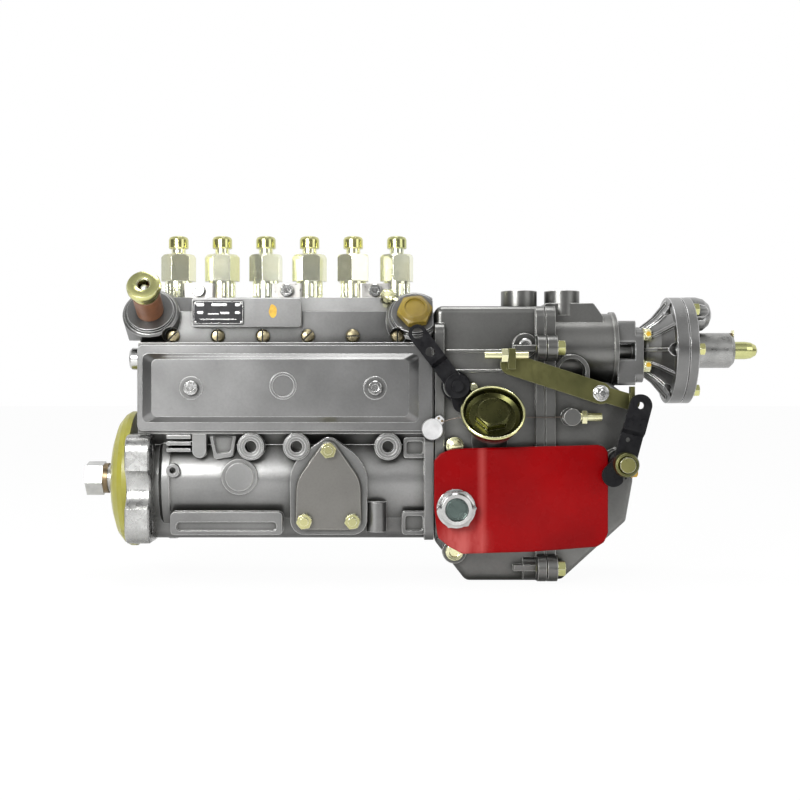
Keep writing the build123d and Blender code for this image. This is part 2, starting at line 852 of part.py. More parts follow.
def socket_screw(plane, head_radius, head_height, shank_radius, shank_length):
    """Cap screw with a hexagon socket; its head stands on the plane."""
    turned(
        plane,
        [
            (0, -shank_length),
            (shank_radius, -shank_length),
            (shank_radius, 0),
            (head_radius, 0),
            (head_radius, head_height - 0.5),
            (head_radius - 0.5, head_height),
            (0, head_height),
        ],
    )
    hexagon(plane.offset(head_height), shank_radius * 1.6, -head_height * 0.55, mode=Mode.SUBTRACT)


def hex_bolt(plane, across_flats, head_height, shank_radius, shank_length, turn=0.0):
    """Hexagon bolt with a washer face; its head stands on the plane."""
    turned(
        plane,
        [
            (0, -shank_length),
            (shank_radius, -shank_length),
            (shank_radius, 0),
            (across_flats * 0.52, 0),
            (across_flats * 0.52, 0.8),
            (0, 0.8),
        ],
    )
    crowned_hexagon(plane.offset(0.8), across_flats, head_height - 0.8, turn)


cover_screw_seat_y = cover_back_y - (cover_flange_thickness + cover_panel_height + 0.4)
with BuildPart() as socket_screws:
    for clamp_x in clamp_xs:
        socket_screw(near(clamp_x, clamp_screw_z, -clamp_depth / 2), socket_screw_radius, 4, 3, clamp_depth)
    for screw_x in cover_screw_x:
        socket_screw(near(screw_x, cover_screw_z, cover_screw_seat_y), 5, 4, cover_screw_radius, 16)
save(socket_screws, "socket_screws")

screw_slot_turns = (45, 90, 90, 45, 0, 90)
with BuildPart() as barrel_screws:
    for index, element_x in enumerate(element_xs):
        turned(
            near(element_x, barrel_screw_z, band_y),
            [
                (0, -17.4),
                (2.3, -17.4),
                (3, -15),
                (3, 0),
                (4.9, 0),
                (4.9, 1.4),
                (3.6, 2.4),
                (0, 2.8),
            ],
        )
        slot_turn = math.radians(screw_slot_turns[index])
        slot_plane = Plane(
            origin=(element_x, band_y - 2.9, barrel_screw_z),
            x_dir=(math.cos(slot_turn), 0, math.sin(slot_turn)),
            z_dir=(0, -1, 0),
        )
        block(slot_plane, 11, 1.1, -1.5, mode=Mode.SUBTRACT)
save(barrel_screws, "barrel_screws")

# Plungers with their control sleeves and toothed quadrants
quadrant_turn = math.degrees(rack_travel / pitch_line_radius)
tooth_angle = 360 / quadrant_circle_teeth
quadrant_centre = -90 - quadrant_turn / 2
quadrant_half_teeth = math.ceil((quadrant_turn / 2 + 16) / tooth_angle)
tooth_half_width = (tooth_pitch - tooth_backlash) / 4
flank_slope = math.tan(math.radians(pressure_angle))


def tooth_half(height):
    """Half width of a tooth at a height above the pitch line."""
    return tooth_half_width + tooth_backlash / 8 - height * flank_slope


def polar(radius, degrees):
    """Point at a radius and an angle."""
    return (radius * math.cos(math.radians(degrees)), radius * math.sin(math.radians(degrees)))


def quadrant_points():
    """Outline of the toothed quadrant; a gap faces the rack when the rack is at rest."""
    root = pitch_line_radius - tooth_dedendum
    tip = pitch_line_radius + tooth_addendum
    first_gap = round((quadrant_centre + 90) / tooth_angle) - quadrant_half_teeth
    points = [(0, 0)]
    for gap in range(first_gap, first_gap + 2 * quadrant_half_teeth):
        middle = -90 + (gap + 0.5) * tooth_angle
        root_half = math.degrees(tooth_half(-tooth_dedendum) / root)
        tip_half = math.degrees(tooth_half(tooth_addendum) / tip)
        points.append(polar(root, middle - root_half))
        points.append(polar(tip, middle - tip_half))
        points.append(polar(tip, middle + tip_half))
        points.append(polar(root, middle + root_half))
    return points


def plunger_set(number, element_x):
    """Plunger and control sleeve of one element, and the quadrant that meshes with the rack."""
    with BuildPart() as plungers:
        disc(
            level(element_x, 0, plunger_bottom_z),
            plunger_radius - 0.03,
            plunger_top_z - plunger_bottom_z,
        )
        # Filling groove under the control edge, foot and vane
        tube(level(element_x, 0, plunger_top_z - 9), 5, 3, 2.5, mode=Mode.SUBTRACT)
        disc(level(element_x, 0, plunger_bottom_z), 7.0, 2)
        block(level(element_x, 0, sleeve_bottom_z - 8), 13, 4, 6)
        sleeve_inner = barrel_foot_radius + 0.3
        tube(
            level(element_x, 0, sleeve_bottom_z + 2),
            sleeve_inner + sleeve_wall,
            sleeve_inner,
            sleeve_top_z - sleeve_bottom_z - 4,
        )
        with BuildSketch(level(element_x, 0, quadrant_bottom_z)) as quadrant:
            with BuildLine():
                Polyline(*quadrant_points(), close=True)
            make_face()
            Circle(sleeve_inner + 0.5, mode=Mode.SUBTRACT)
        extrude(quadrant.sketch, amount=quadrant_height)
    save(plungers, f"plunger_set_{number}")


for number, element_x in enumerate(element_xs, start=1):
    plunger_set(number, element_x)


# Control rack: a rod with teeth along its far side
rack_left_x = 1.0
rack_right_x = 224.0
rack_first_tooth = -math.ceil((first_x - rack_left_x) / tooth_pitch)
rack_last_tooth = math.floor((last_x - first_x + 7) / tooth_pitch)
rack_tip_y = -(pitch_line_radius - tooth_addendum)
rack_root_y = -(pitch_line_radius + tooth_dedendum)
with BuildPart() as control_rack:
    disc(along(rack_left_x, rack_y, rack_z), rack_radius, rack_right_x - rack_left_x)
    with BuildSketch(level(0, 0, rack_z - rack_radius)) as tooth_gaps:
        for index in range(rack_first_tooth, rack_last_tooth):
            gap_x = first_x + (index + 0.5) * tooth_pitch
            wide = tooth_pitch / 2 - tooth_half(tooth_addendum + 0.5)
            narrow = tooth_pitch / 2 - tooth_half(-tooth_dedendum)
            with BuildLine():
                Polyline(
                    (gap_x - narrow, rack_root_y),
                    (gap_x + narrow, rack_root_y),
                    (gap_x + wide, rack_tip_y + 0.5),
                    (gap_x - wide, rack_tip_y + 0.5),
                    close=True,
                )
            make_face()
    extrude(tooth_gaps.sketch, amount=2 * rack_radius, mode=Mode.SUBTRACT)
save(control_rack, "control_rack")

with BuildPart() as rack_cap:
    turned(
        along(upper_left_x, rack_y, rack_z),
        [(0, -10), (6.5, -10), (8, -8.5), (8, 0), (rack_radius + 0.6, 0), (rack_radius + 0.6, -8), (0, -8)],
    )
save(rack_cap, "rack_cap")

# Roller tappets, held at the top of their stroke
tappet_bottom_z = cam_base_radius + cam_lift + free_gap
roller_z = tappet_bottom_z + roller_radius
with BuildPart() as tappets:
    for element_x in element_xs:
        tube(
            level(element_x, 0, tappet_bottom_z + 3),
            tappet_radius,
            tappet_radius - tappet_wall,
            tappet_height - 2,
        )
        disc(level(element_x, 0, tappet_bottom_z + 15.5), tappet_radius - 1, 2.5)
        disc(near(element_x, roller_z, -tappet_radius + 1.5), 3, -2 * tappet_radius + 3)
    for element_x in element_xs:
        tube(along(element_x - roller_width / 2, 0, roller_z), roller_radius, 3.2, roller_width)
save(tappets, "tappets")

# Plunger springs
with BuildPart() as plunger_springs:
    for element_x in element_xs:
        tube(
            level(element_x, 0, tappet_bottom_z + 18),
            tappet_radius - tappet_wall - 0.2,
            tappet_radius - tappet_wall - 1.0,
            14,
        )
save(plunger_springs, "plunger_springs")

# Inlet union with its sleeve and cap, and the hexagon plug
inlet_plane = tilted(inlet_x, inlet_z, boss_face_y, boss_tilt)
plug_plane = tilted(plug_x, plug_z, boss_face_y, boss_tilt)
with BuildPart() as inlet_union:
    turned(
        inlet_plane,
        [(4, -12), (6, -12), (6, 0), (9.6, 0), (9.6, 20), (9.0, 20.6), (7.4, 20.6), (7.4, 25), (4, 25)],
    )
save(inlet_union, "inlet_union")

with BuildPart() as inlet_cap:
    turned(
        inlet_plane.offset(20.7),
        [(7.5, 0), (9.3, 0), (9.5, 0.8), (9.5, 10), (8.8, 11.2), (4.2, 11.2), (4.2, 4.4), (7.5, 4.4)],
    )
save(inlet_cap, "inlet_cap")

with BuildPart() as gallery_plug:
    crowned_hexagon(plug_plane, 22, 5.5, 8)
    turned(plug_plane, [(0, -10), (7.9, -10), (7.9, 0), (0, 0)])
    turned(
        plug_plane.offset(5.5),
        [(0, 0), (10.6, 0), (9.2, 1.6), (8.3, 2.4), (7.2, 2.4), (7.2, 1.2), (0, 1.2)],
    )
save(gallery_plug, "gallery_plug")

# Blanking plate on the feed pump seat, with studs and nuts
blank_screws = [
    (blank_x, blank_top_z),
    (blank_x - blank_foot_dx, blank_foot_z),
    (blank_x + blank_foot_dx, blank_foot_z),
]
with BuildPart() as blanking_plate:
    with BuildSketch(near(0, 0, blank_seat_y)) as blank_face:
        for screw_x, screw_z in blank_screws:
            with Locations((screw_x, screw_z)):
                Circle(blank_foot_radius)
        with Locations((blank_x, -6)):
            Circle(blank_foot_dx + blank_foot_radius - 0.4)
        make_hull(blank_face.edges())
    extrude(amount=blank_thickness)
    for screw_x, screw_z in blank_screws:
        disc(
            near(screw_x, screw_z, blank_seat_y),
            blank_stud_radius + seat_gap,
            blank_thickness,
            mode=Mode.SUBTRACT,
        )
    chamfer(blanking_plate.faces().sort_by(Axis.Y)[0].outer_wire().edges(), 0.8)
save(blanking_plate, "blanking_plate")

with BuildPart() as blanking_nuts:
    for screw_x, screw_z in blank_screws:
        nut_plane = near(screw_x, screw_z, blank_seat_y - blank_thickness)
        hex_bolt(nut_plane, 10, 5, blank_stud_radius, blank_thickness, 10)
        disc(nut_plane.offset(5), blank_stud_radius, 2.5)
save(blanking_nuts, "blanking_nuts")

# Governor housing: a hollow casting that closes the pump's governor end
governor_depth = governor_far_y - governor_near_y
governor_mid_y = (governor_far_y + governor_near_y) / 2
governor_mid_z = (governor_top_z + governor_bottom_z) / 2
governor_height = governor_top_z - governor_bottom_z
governor_length = governor_split_x - governor_left_x
filler_x = 253.7
filler_z = 45.0
filler_y = -60.0
filler_tilt = 35.0
filler_radius = 21.8
timing_x = 228.9
timing_z = -17.3
timing_y = -55.0
lead_plug = (228.6, -48.6)
lug_radius = 9.0
lug_bolt_radius = 3.0
governor_lugs = [(y, z) for y in (governor_near_y - 8, governor_far_y + 8) for z in (94.0, -60.0)]
with BuildPart() as governor_housing:
    rounded_outline(
        near(0, 0, governor_near_y),
        [
            (governor_left_x, governor_top_z),
            (governor_left_x, -42),
            (governor_left_x + 22, governor_bottom_z),
            (governor_split_x, governor_bottom_z),
            (governor_split_x, governor_top_z),
        ],
        6,
        -governor_depth,
    )
    fillet(governor_housing.faces().sort_by(Axis.Y)[0].edges(), 5)
    # Flanges at the pump and at the split
    block(along(governor_left_x, governor_mid_y, 36), governor_depth + 12, 152, 6.5, 8)
    block(
        along(governor_split_x - 6, governor_mid_y, governor_mid_z),
        governor_depth + 8,
        governor_height,
        6,
        8,
    )
    # Ribs behind the flange lugs
    for lug_y, lug_z in governor_lugs:
        block(along(governor_split_x - 22, lug_y * 0.86, lug_z), 12, 4, 18)
    # Round bosses on the top and at the foot of the split
    disc(level(277, -14, governor_top_z - 6), 13, 17.7)
    disc(along(governor_split_x - 15, governor_near_y + 2, governor_bottom_z + 9), 8, 15)
    disc(near(278.5, 96, governor_near_y + 4), 8.5, 7)
    # Cast ribs across the near wall
    for rib_z in (cover_top_z - 4, cover_top_z - 18):
        block(near(256, rib_z, governor_near_y - 1), 66, 2, -4)
    # Cylinder that carries the filler cap, and the seats of the plugs
    disc(tilted(filler_x, filler_z, filler_y, filler_tilt), 18, -4)
    disc(tilted(filler_x, filler_z, filler_y, filler_tilt), 12.5, -30)
    disc(near(timing_x, timing_z, governor_near_y + 1), 14, governor_near_y + 1 - timing_y)
    disc(near(*lead_plug, governor_near_y + 1), 8.5, 6)
    disc(near(*stop_pivot, governor_near_y + 1), 9, governor_near_y + 1 - stop_boss_y)
    for lug_y, lug_z in governor_lugs:
        disc(along(governor_split_x - 6, lug_y, lug_z), lug_radius, 6)
    for lug_y, lug_z in governor_lugs:
        disc(along(governor_split_x - 6, lug_y, lug_z), lug_bolt_radius + seat_gap, 6, mode=Mode.SUBTRACT)
    # Pocket for the flyweights and levers
    block(
        along(governor_left_x + 6, governor_mid_y, governor_mid_z + 2),
        governor_depth - 2 * governor_wall,
        governor_height - 16,
        governor_length,
        8,
        mode=Mode.SUBTRACT,
    )
    disc(along(governor_left_x), 30, 8, mode=Mode.SUBTRACT)
    disc(along(governor_left_x, rack_y, rack_z), rack_radius + 1, 8, mode=Mode.SUBTRACT)
    disc(near(*stop_pivot, governor_near_y - 20), lever_shaft_radius + fit_gap, -50, mode=Mode.SUBTRACT)
save(governor_housing, "governor_housing")

with BuildPart() as governor_gasket_ring:
    block(
        along(governor_split_x, governor_mid_y, governor_mid_z),
        governor_depth + 7,
        governor_height - 1,
        governor_gasket,
        8,
    )
    block(
        along(governor_split_x, governor_mid_y, governor_mid_z + 2),
        governor_depth - 2 * governor_wall,
        governor_height - 16,
        governor_gasket,
        8,
        mode=Mode.SUBTRACT,
    )
save(governor_gasket_ring, "governor_gasket")

# Governor cover: an upper tube towards the compensator over a tapering body
cover_front_x = governor_split_x + governor_gasket
full_load_y = -48.0
full_load_z = 45.7
control_boss_y = -50.0
with BuildPart() as governor_cover:
    rounded_outline(
        near(0, 0, governor_near_y),
        [
            (cover_front_x + 2, governor_bottom_z + 1),
            (cover_front_x + 12, governor_bottom_z + 1),
            (350, -28),
            (355, 0),
            (355, 58),
            (338, 70),
            (cover_front_x + 2, 72),
        ],
        4,
        -governor_depth,
    )
    fillet(governor_cover.faces().sort_by(Axis.Y)[0].edges(), 3.5)
    fillet(governor_cover.faces().sort_by(Axis.Y)[-1].edges(), 3.5)
    block(
        along(cover_front_x, governor_mid_y, governor_mid_z),
        governor_depth + 8,
        governor_height,
        7,
        8,
    )
    for lug_y, lug_z in governor_lugs:
        disc(along(cover_front_x, lug_y, lug_z), lug_radius, 7)
    disc(along(cover_front_x, boost_y, cover_tube_z), cover_tube_radius, cover_end_x - cover_front_x)
    disc(along(cover_end_x - 3, boost_y, cover_tube_z), cover_tube_radius + 1.2, 3)
    # Arched rib on the tube and straight ribs down to the body
    with BuildSketch(near(312, 77.3, governor_near_y)) as arch:
        Circle(12.4)
        Circle(9.4, mode=Mode.SUBTRACT)
        with Locations((0, -12.4)):
            Rectangle(24.8, 24.8, mode=Mode.SUBTRACT)
    extrude(arch.sketch, amount=-16)
    for rib_x in (301.2, 322.8):
        block(near(rib_x, 74, governor_near_y), 3, 8, -16)
    rounded_outline(
        near(0, 0, -26),
        [(cover_front_x + 1, 95), (cover_front_x + 1, 126.6), (329, 126.6), (336, 117), (336, 95)],
        2,
        -36,
    )
    disc(level(308, -14, governor_top_z - 6), 12.7, 17.7)
    disc(near(*control_pivot, governor_near_y + 1), 10, -control_boss_y + governor_near_y + 1)
    disc(near(310, full_load_z, governor_near_y + 1), 6, 16)
    disc(along(300, full_load_y, full_load_z), 3 + thread_gap, 30, mode=Mode.SUBTRACT)
    for lug_y, lug_z in governor_lugs:
        disc(along(cover_front_x, lug_y, lug_z), lug_bolt_radius + seat_gap, 7, mode=Mode.SUBTRACT)
    # Inside
    rounded_outline(
        near(0, 0, governor_near_y + governor_wall),
        [
            (cover_front_x - 1, governor_bottom_z + 10),
            (cover_front_x + 10, governor_bottom_z + 10),
            (343, -24),
            (348, 0),
            (348, 52),
            (334, 64),
            (cover_front_x - 1, 66),
        ],
        3,
        -(governor_depth - 2 * governor_wall),
        mode=Mode.SUBTRACT,
    )
    disc(
        along(cover_front_x - 1, boost_y, cover_tube_z),
        cover_tube_radius - governor_wall,
        cover_end_x,
        mode=Mode.SUBTRACT,
    )
    disc(
        near(*control_pivot, control_boss_y - 1),
        lever_shaft_radius + fit_gap,
        -50,
        mode=Mode.SUBTRACT,
    )
save(governor_cover, "governor_cover")

# Filler cap, timing plug, lead seal, tag
filler_plane = tilted(filler_x, filler_z, filler_y, filler_tilt)
with BuildPart() as oil_filler_cap:
    turned(
        filler_plane,
        [
            (0, 0.1),
            (18, 0.1),
            (20.5, 2),
            (filler_radius - 0.4, 5),
            (filler_radius, 7),
            (filler_radius - 0.8, 8),
            (filler_radius - 1.8, 7),
            (18.6, 4),
            (16, 2.4),
            (0, 2.4),
        ],
    )
    crowned_hexagon(filler_plane.offset(2), 21.7, 7, 12)
save(oil_filler_cap, "oil_filler_cap")

timing_plane = near(timing_x, timing_z, timing_y)
with BuildPart() as timing_plug:
    turned(timing_plane.offset(2), [(0, 0), (13.5, 0), (13.5, 1), (0, 1)])
    crowned_hexagon(timing_plane.offset(3), 24, 8, 5)
    turned(timing_plane.offset(11), [(0, 0), (11.5, 0), (10.4, 1), (0, 1)])
    disc(timing_plane.offset(12), 8.1, -3, mode=Mode.SUBTRACT)
save(timing_plug, "timing_plug")

tag_points = [
    (213.8, 15.7),
    (224.9, 22.9),
    (236.2, 23.9),
    (327.3, 26.6),
    (334, 21.2),
    (334, -34),
    (326.2, -43.7),
    (280.8, -47.3),
    (233.3, -49.4),
    (216.2, -37.3),
    (213.8, -16.1),
]
with BuildPart() as red_tag:
    outline(timing_plane, [(x - timing_x, z - timing_z) for x, z in tag_points], 1.6)
    disc(timing_plane, 9, 1.6, mode=Mode.SUBTRACT)
save(red_tag, "red_tag")

with BuildPart() as lead_seal:
    turned(near(212.9, 37.2, panel_y - free_gap), [(0, 0), (7, 0), (7.6, 0.8), (7.6, 3.2), (7, 4), (0, 4)])
save(lead_seal, "lead_seal")

# Stop lever with its shaft
def cranked_bar(start, end, width, y_start, y_end, bend_at):
    """Flat lever bar with round ends that steps from one depth to another at bend_at of its length."""
    run_x = end[0] - start[0]
    run_z = end[1] - start[1]
    length = math.hypot(run_x, run_z)
    ahead = (run_x / length, 0, run_z / length)
    side = (ahead[2], 0, -ahead[0])
    bar_plane = Plane(origin=(start[0], 0, start[1]), x_dir=ahead, z_dir=side)
    toward = 1 if bar_plane.y_dir.Y > 0 else -1
    bend = length * bend_at
    step = abs(y_end - y_start) * 0.8
    with BuildSketch(bar_plane) as profile:
        with BuildLine():
            Polyline(
                (0, toward * y_start),
                (bend, toward * y_start),
                (bend + step, toward * y_end),
                (length, toward * y_end),
                (length, toward * (y_end + lever_thickness)),
                (bend + step, toward * (y_end + lever_thickness)),
                (bend, toward * (y_start + lever_thickness)),
                (0, toward * (y_start + lever_thickness)),
                close=True,
            )
        make_face()
    extrude(profile.sketch, amount=width / 2, both=True)
    disc(near(*start, y_start), width / 2, -lever_thickness)
    disc(near(*end, y_end), width / 2, -lever_thickness)


with BuildPart() as stop_shaft:
    disc(near(*stop_pivot, stop_lever_y - 4), lever_shaft_radius, -36)
save(stop_shaft, "stop_shaft")

with BuildPart() as stop_lever:
    disc(near(*stop_pivot, stop_boss_y - free_gap), 8.5, stop_boss_y - free_gap - stop_lever_y)
    cranked_bar(stop_pivot, stop_tip, 12.5, stop_lever_y + 4, stop_lever_y, 0.42)
    strip(near(0, 0, stop_tail_y + lever_thickness), stop_pivot, (233.5, 55), 12.5, lever_thickness)
    disc(near(*stop_tip, stop_lever_y + 9), 3.8, 14, mode=Mode.SUBTRACT)
    disc(near(*stop_second_hole, stop_lever_y + 9), 3.3, 14, mode=Mode.SUBTRACT)
    disc(near(*stop_pivot, stop_boss_y), lever_shaft_radius, 20, mode=Mode.SUBTRACT)
save(stop_lever, "stop_lever")

# Control lever with its shaft
control_hub_radius = 8.5
with BuildPart() as control_shaft:
    disc(near(*control_pivot, -80), lever_shaft_radius, -54)
    tube(near(*control_pivot, -80 + 10), 5.3, lever_shaft_radius, 10)
save(control_shaft, "control_shaft")

with BuildPart() as control_lever:
    disc(near(*control_pivot, control_boss_y - 1), control_hub_radius, 18)
    cranked_bar(control_pivot, control_tip, 15.5, control_lever_y, control_lever_y - 3.5, 0.5)
    strip(near(0, 0, control_lever_y + lever_thickness), control_pivot, (336, 6), 15.5, lever_thickness)
    # Slot of the clamp, and the cross bore of its screw
    clamp_slot = near(control_pivot[0], control_pivot[1] - control_hub_radius, control_boss_y)
    block(clamp_slot, 1.6, 10, 20, mode=Mode.SUBTRACT)
    disc(along(control_pivot[0] - 12, -56, control_pivot[1] - 6.2), 1.4, 24, mode=Mode.SUBTRACT)
    disc(near(*control_tip, control_lever_y + 8), 2.4, 12, mode=Mode.SUBTRACT)
    disc(near(*control_second_hole, control_lever_y + 6), 1.6, 12, mode=Mode.SUBTRACT)
    disc(near(*control_pivot, control_boss_y), lever_shaft_radius, 22, mode=Mode.SUBTRACT)
save(control_lever, "control_lever")

# Olive bracket with its bolt, adjusting screw and the full load screw
bracket_left = (266.8, 82.5)
bracket_bolt = (328.6, 62.4)
bracket_tip = (350.0, 56.0)
bracket_y = -56.0
idle_y = bracket_y - 8.2
idle_z = 88.4
with BuildPart() as lever_bracket:
    strip(near(0, 0, bracket_y), bracket_left, bracket_bolt, 15, 3)
    block(near(266.5, 86, bracket_y), 5, 14, 12)
    strip(near(0, 0, bracket_y), bracket_bolt, bracket_tip, 11, 3)
    block(near(bracket_tip[0], bracket_tip[1] + 4, bracket_y), 3, 14, 6)
    disc(near(*bracket_bolt, governor_near_y), 7, -bracket_y + governor_near_y)
    disc(near(*bracket_bolt, governor_near_y), 3.1, 30, mode=Mode.SUBTRACT)
    disc(along(262, idle_y, idle_z), 2.6, 8, mode=Mode.SUBTRACT)
save(lever_bracket, "lever_bracket")

with BuildPart() as adjusting_screws:
    disc(along(248, idle_y, idle_z), 2.5, 30)
    hexagon(along(259.5, idle_y, idle_z), 9, 4.4)
    disc(along(306, full_load_y, full_load_z), 3, 25)
    hexagon(along(317, full_load_y, full_load_z), 9, 3.5)
save(adjusting_screws, "adjusting_screws")

with BuildPart() as governor_bolts:
    for lug_y, lug_z in governor_lugs:
        hex_bolt(along(cover_front_x + 7, lug_y, lug_z), 10, 6, lug_bolt_radius, 13.5)
save(governor_bolts, "governor_bolts")

# Boost compensator
rod_radius = 4.0
adapter_width = 40.0
adapter_gap = 12.6
adapter_plate = boost_plate_x - cover_end_x - adapter_gap
with BuildPart() as aneroid_adapter:
    for block_z, block_height in ((106, 16), (77.5, 19)):
        block(along(cover_end_x, boost_y, block_z), adapter_width, block_height, adapter_gap, 2)
    disc(along(cover_end_x, boost_y, boost_z), 9, adapter_gap)
    block(along(cover_end_x + adapter_gap, boost_y, 89), adapter_width, 38, adapter_plate, 6)
    disc(along(cover_end_x + adapter_gap, boost_y, boost_z), 17, adapter_plate)
    disc(along(cover_end_x, boost_y, boost_z), rod_radius + fit_gap, 19, mode=Mode.SUBTRACT)
save(aneroid_adapter, "aneroid_adapter")

aneroid_bolt_radius = 2.5
aneroid_hole_radius = aneroid_bolt_radius + seat_gap
aneroid_bolt_circle = boost_flange_radius - 5
aneroid_bolt_places = [
    (
        boost_y + aneroid_bolt_circle * math.cos(math.radians(turn)),
        boost_z + aneroid_bolt_circle * math.sin(math.radians(turn)),
    )
    for turn in range(0, 360, 60)
]
with BuildPart() as aneroid_housing:
    turned(
        along(boost_plate_x, boost_y, boost_z),
        [
            (8, 0),
            (15, 0),
            (17.5, 4),
            (24, 12),
            (33, 19.6),
            (boost_flange_radius, 20),
            (boost_flange_radius, boost_mid_x - boost_plate_x - diaphragm_thickness),
            (30, boost_mid_x - boost_plate_x - diaphragm_thickness),
            (22, 17),
            (13, 5),
            (8, 5),
        ],
    )
    # Ribs between the bell and its flange
    for turn in range(30, 390, 30):
        outward = (0, math.cos(math.radians(turn)), math.sin(math.radians(turn)))
        sideways = (0, outward[2], -outward[1])
        rib_plane = Plane(origin=(boost_plate_x, boost_y, boost_z), x_dir=outward, z_dir=sideways)
        toward = 1 if rib_plane.y_dir.X > 0 else -1
        with BuildSketch(rib_plane) as rib:
            with BuildLine():
                Polyline(
                    (13, 0),
                    (16.5, 0),
                    (23.5, toward * 9),
                    (36.5, toward * 20),
                    (31, toward * 20),
                    (21, toward * 10),
                    close=True,
                )
            make_face()
        extrude(rib.sketch, amount=1.1, both=True)
    for bolt_y, bolt_z in aneroid_bolt_places:
        disc(along(380, bolt_y, bolt_z), aneroid_hole_radius, 20, mode=Mode.SUBTRACT)
        disc(along(380, bolt_y, bolt_z), 4.6, 5.8, mode=Mode.SUBTRACT)
save(aneroid_housing, "aneroid_housing")

with BuildPart() as diaphragm:
    diaphragm_plane = along(boost_mid_x - diaphragm_thickness, boost_y, boost_z)
    disc(diaphragm_plane, boost_flange_radius - 0.5, diaphragm_thickness)
    for bolt_y, bolt_z in aneroid_bolt_places:
        disc(along(380, bolt_y, bolt_z), aneroid_hole_radius, 20, mode=Mode.SUBTRACT)
save(diaphragm, "diaphragm")

with BuildPart() as aneroid_cover:
    turned(
        along(boost_mid_x, boost_y, boost_z),
        [
            (27, 0),
            (boost_flange_radius, 0),
            (boost_flange_radius, 6.3),
            (28.5, 6.3),
            (25, 9),
            (spring_tube_radius + 4, 12),
            (spring_tube_radius + 0.1, 12),
            (spring_tube_radius + 0.1, 8),
            (23, 4),
        ],
    )
    # Vent dome with its three slots
    turned(
        along(boost_right_x - 3, boost_y - 3, 119),
        [(0, 0), (12.7, 0), (12.7, 8), (11.4, 13), (8, 17), (4, 18.8), (0, 19.2)],
    )
    for slot_z in (-4.5, 0, 4.5):
        block(near(boost_right_x + 6.5, 120 + slot_z, boost_y - 17), 7, 1.8, -4, mode=Mode.SUBTRACT)
    for bolt_y, bolt_z in aneroid_bolt_places:
        disc(along(boost_right_x, bolt_y, bolt_z), 5, 20, mode=Mode.SUBTRACT)
        disc(along(boost_mid_x, bolt_y, bolt_z), aneroid_hole_radius, 20, mode=Mode.SUBTRACT)
save(aneroid_cover, "aneroid_cover")

with BuildPart() as spring_tube:
    turned(
        along(boost_right_x, boost_y, boost_z),
        [
            (9.5, 4),
            (spring_tube_radius, 4),
            (spring_tube_radius, 30),
            (spring_tube_radius - 2.5, 32.6),
            (3.1, 32.6),
            (3.1, 29),
            (9.5, 29),
        ],
    )
save(spring_tube, "spring_tube")

with BuildPart() as acorn_nut:
    turned(
        along(spring_tube_end_x + 0.4, boost_y, boost_z),
        [(0, 0), (6.4, 0), (6.4, 9), (5.8, 13), (4, 16.4), (1.6, 17.7), (0, 17.7)],
    )
save(acorn_nut, "acorn_nut")

with BuildPart() as aneroid_rod:
    disc(along(cover_end_x - 18, boost_y, boost_z), rod_radius, boost_mid_x - 0.9 - (cover_end_x - 18))
save(aneroid_rod, "aneroid_rod")

# Governor: hub on the camshaft, two flyweights and the sliding sleeve
hub_x = shaft_end_x - 9
hub_plate = 2.5
weight_pivot_radius = 17.0
weight_axis_x = hub_x + 6
weight_width = 12.0
weight_pin_radius = 1.5
with BuildPart() as governor_hub:
    tube(along(hub_x), 11, 7 + fit_gap, 5.5)
    for side in (-1, 1):
        block(along(hub_x, 0, side * 15), weight_width + 7, 11, hub_plate)
        for lug_side in (-1, 1):
            lug_y = lug_side * (weight_width / 2 + 2)
            block(along(hub_x, lug_y, side * weight_pivot_radius), 3, 9, 9)
        disc(
            near(weight_axis_x, side * weight_pivot_radius, -weight_width / 2 - 3.5),
            weight_pin_radius,
            -weight_width - 7,
        )
save(governor_hub, "governor_hub")


def flyweight(name, side):
    """Bell-crank weight: the mass hangs beside the shaft, the finger reaches the sleeve."""
    plane = near(weight_axis_x, side * weight_pivot_radius, -weight_width / 2)
    with BuildPart() as weight:
        disc(plane, 3, -weight_width)
        for points in (
            [(-1, 1.5), (-1, 7.5), (14, 7.5), (14, 3.5), (3, 3.5), (3, 1.5)],
            [(-2, 0), (2.5, 0), (5.4, -6), (5.4, -9.5), (3.8, -9.5)],
        ):
            outline(plane, [(x, z * side) for x, z in points], -weight_width)
        disc(plane, weight_pin_radius + fit_gap, -weight_width, mode=Mode.SUBTRACT)
    save(weight, name)


flyweight("flyweight_upper", 1)
flyweight("flyweight_lower", -1)

with BuildPart() as governor_sleeve:
    turned(
        along(shaft_end_x + 3),
        [
            (sleeve_guide_radius + fit_gap, 0),
            (8, 0),
            (8, 3),
            (6, 3),
            (6, 12),
            (sleeve_guide_radius + fit_gap, 12),
        ],
    )
save(governor_sleeve, "governor_sleeve")

with BuildPart() as aneroid_bolts:
    for bolt_y, bolt_z in aneroid_bolt_places:
        hex_bolt(along(boost_right_x, bolt_y, bolt_z), 8, 4.5, aneroid_bolt_radius, 10)
save(aneroid_bolts, "aneroid_bolts")
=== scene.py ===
"""Looks of the in-line diesel injection pump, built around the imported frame. All sizes in metres."""

import json
import math
import random

import bmesh
import bpy
from mathutils import Matrix, Vector


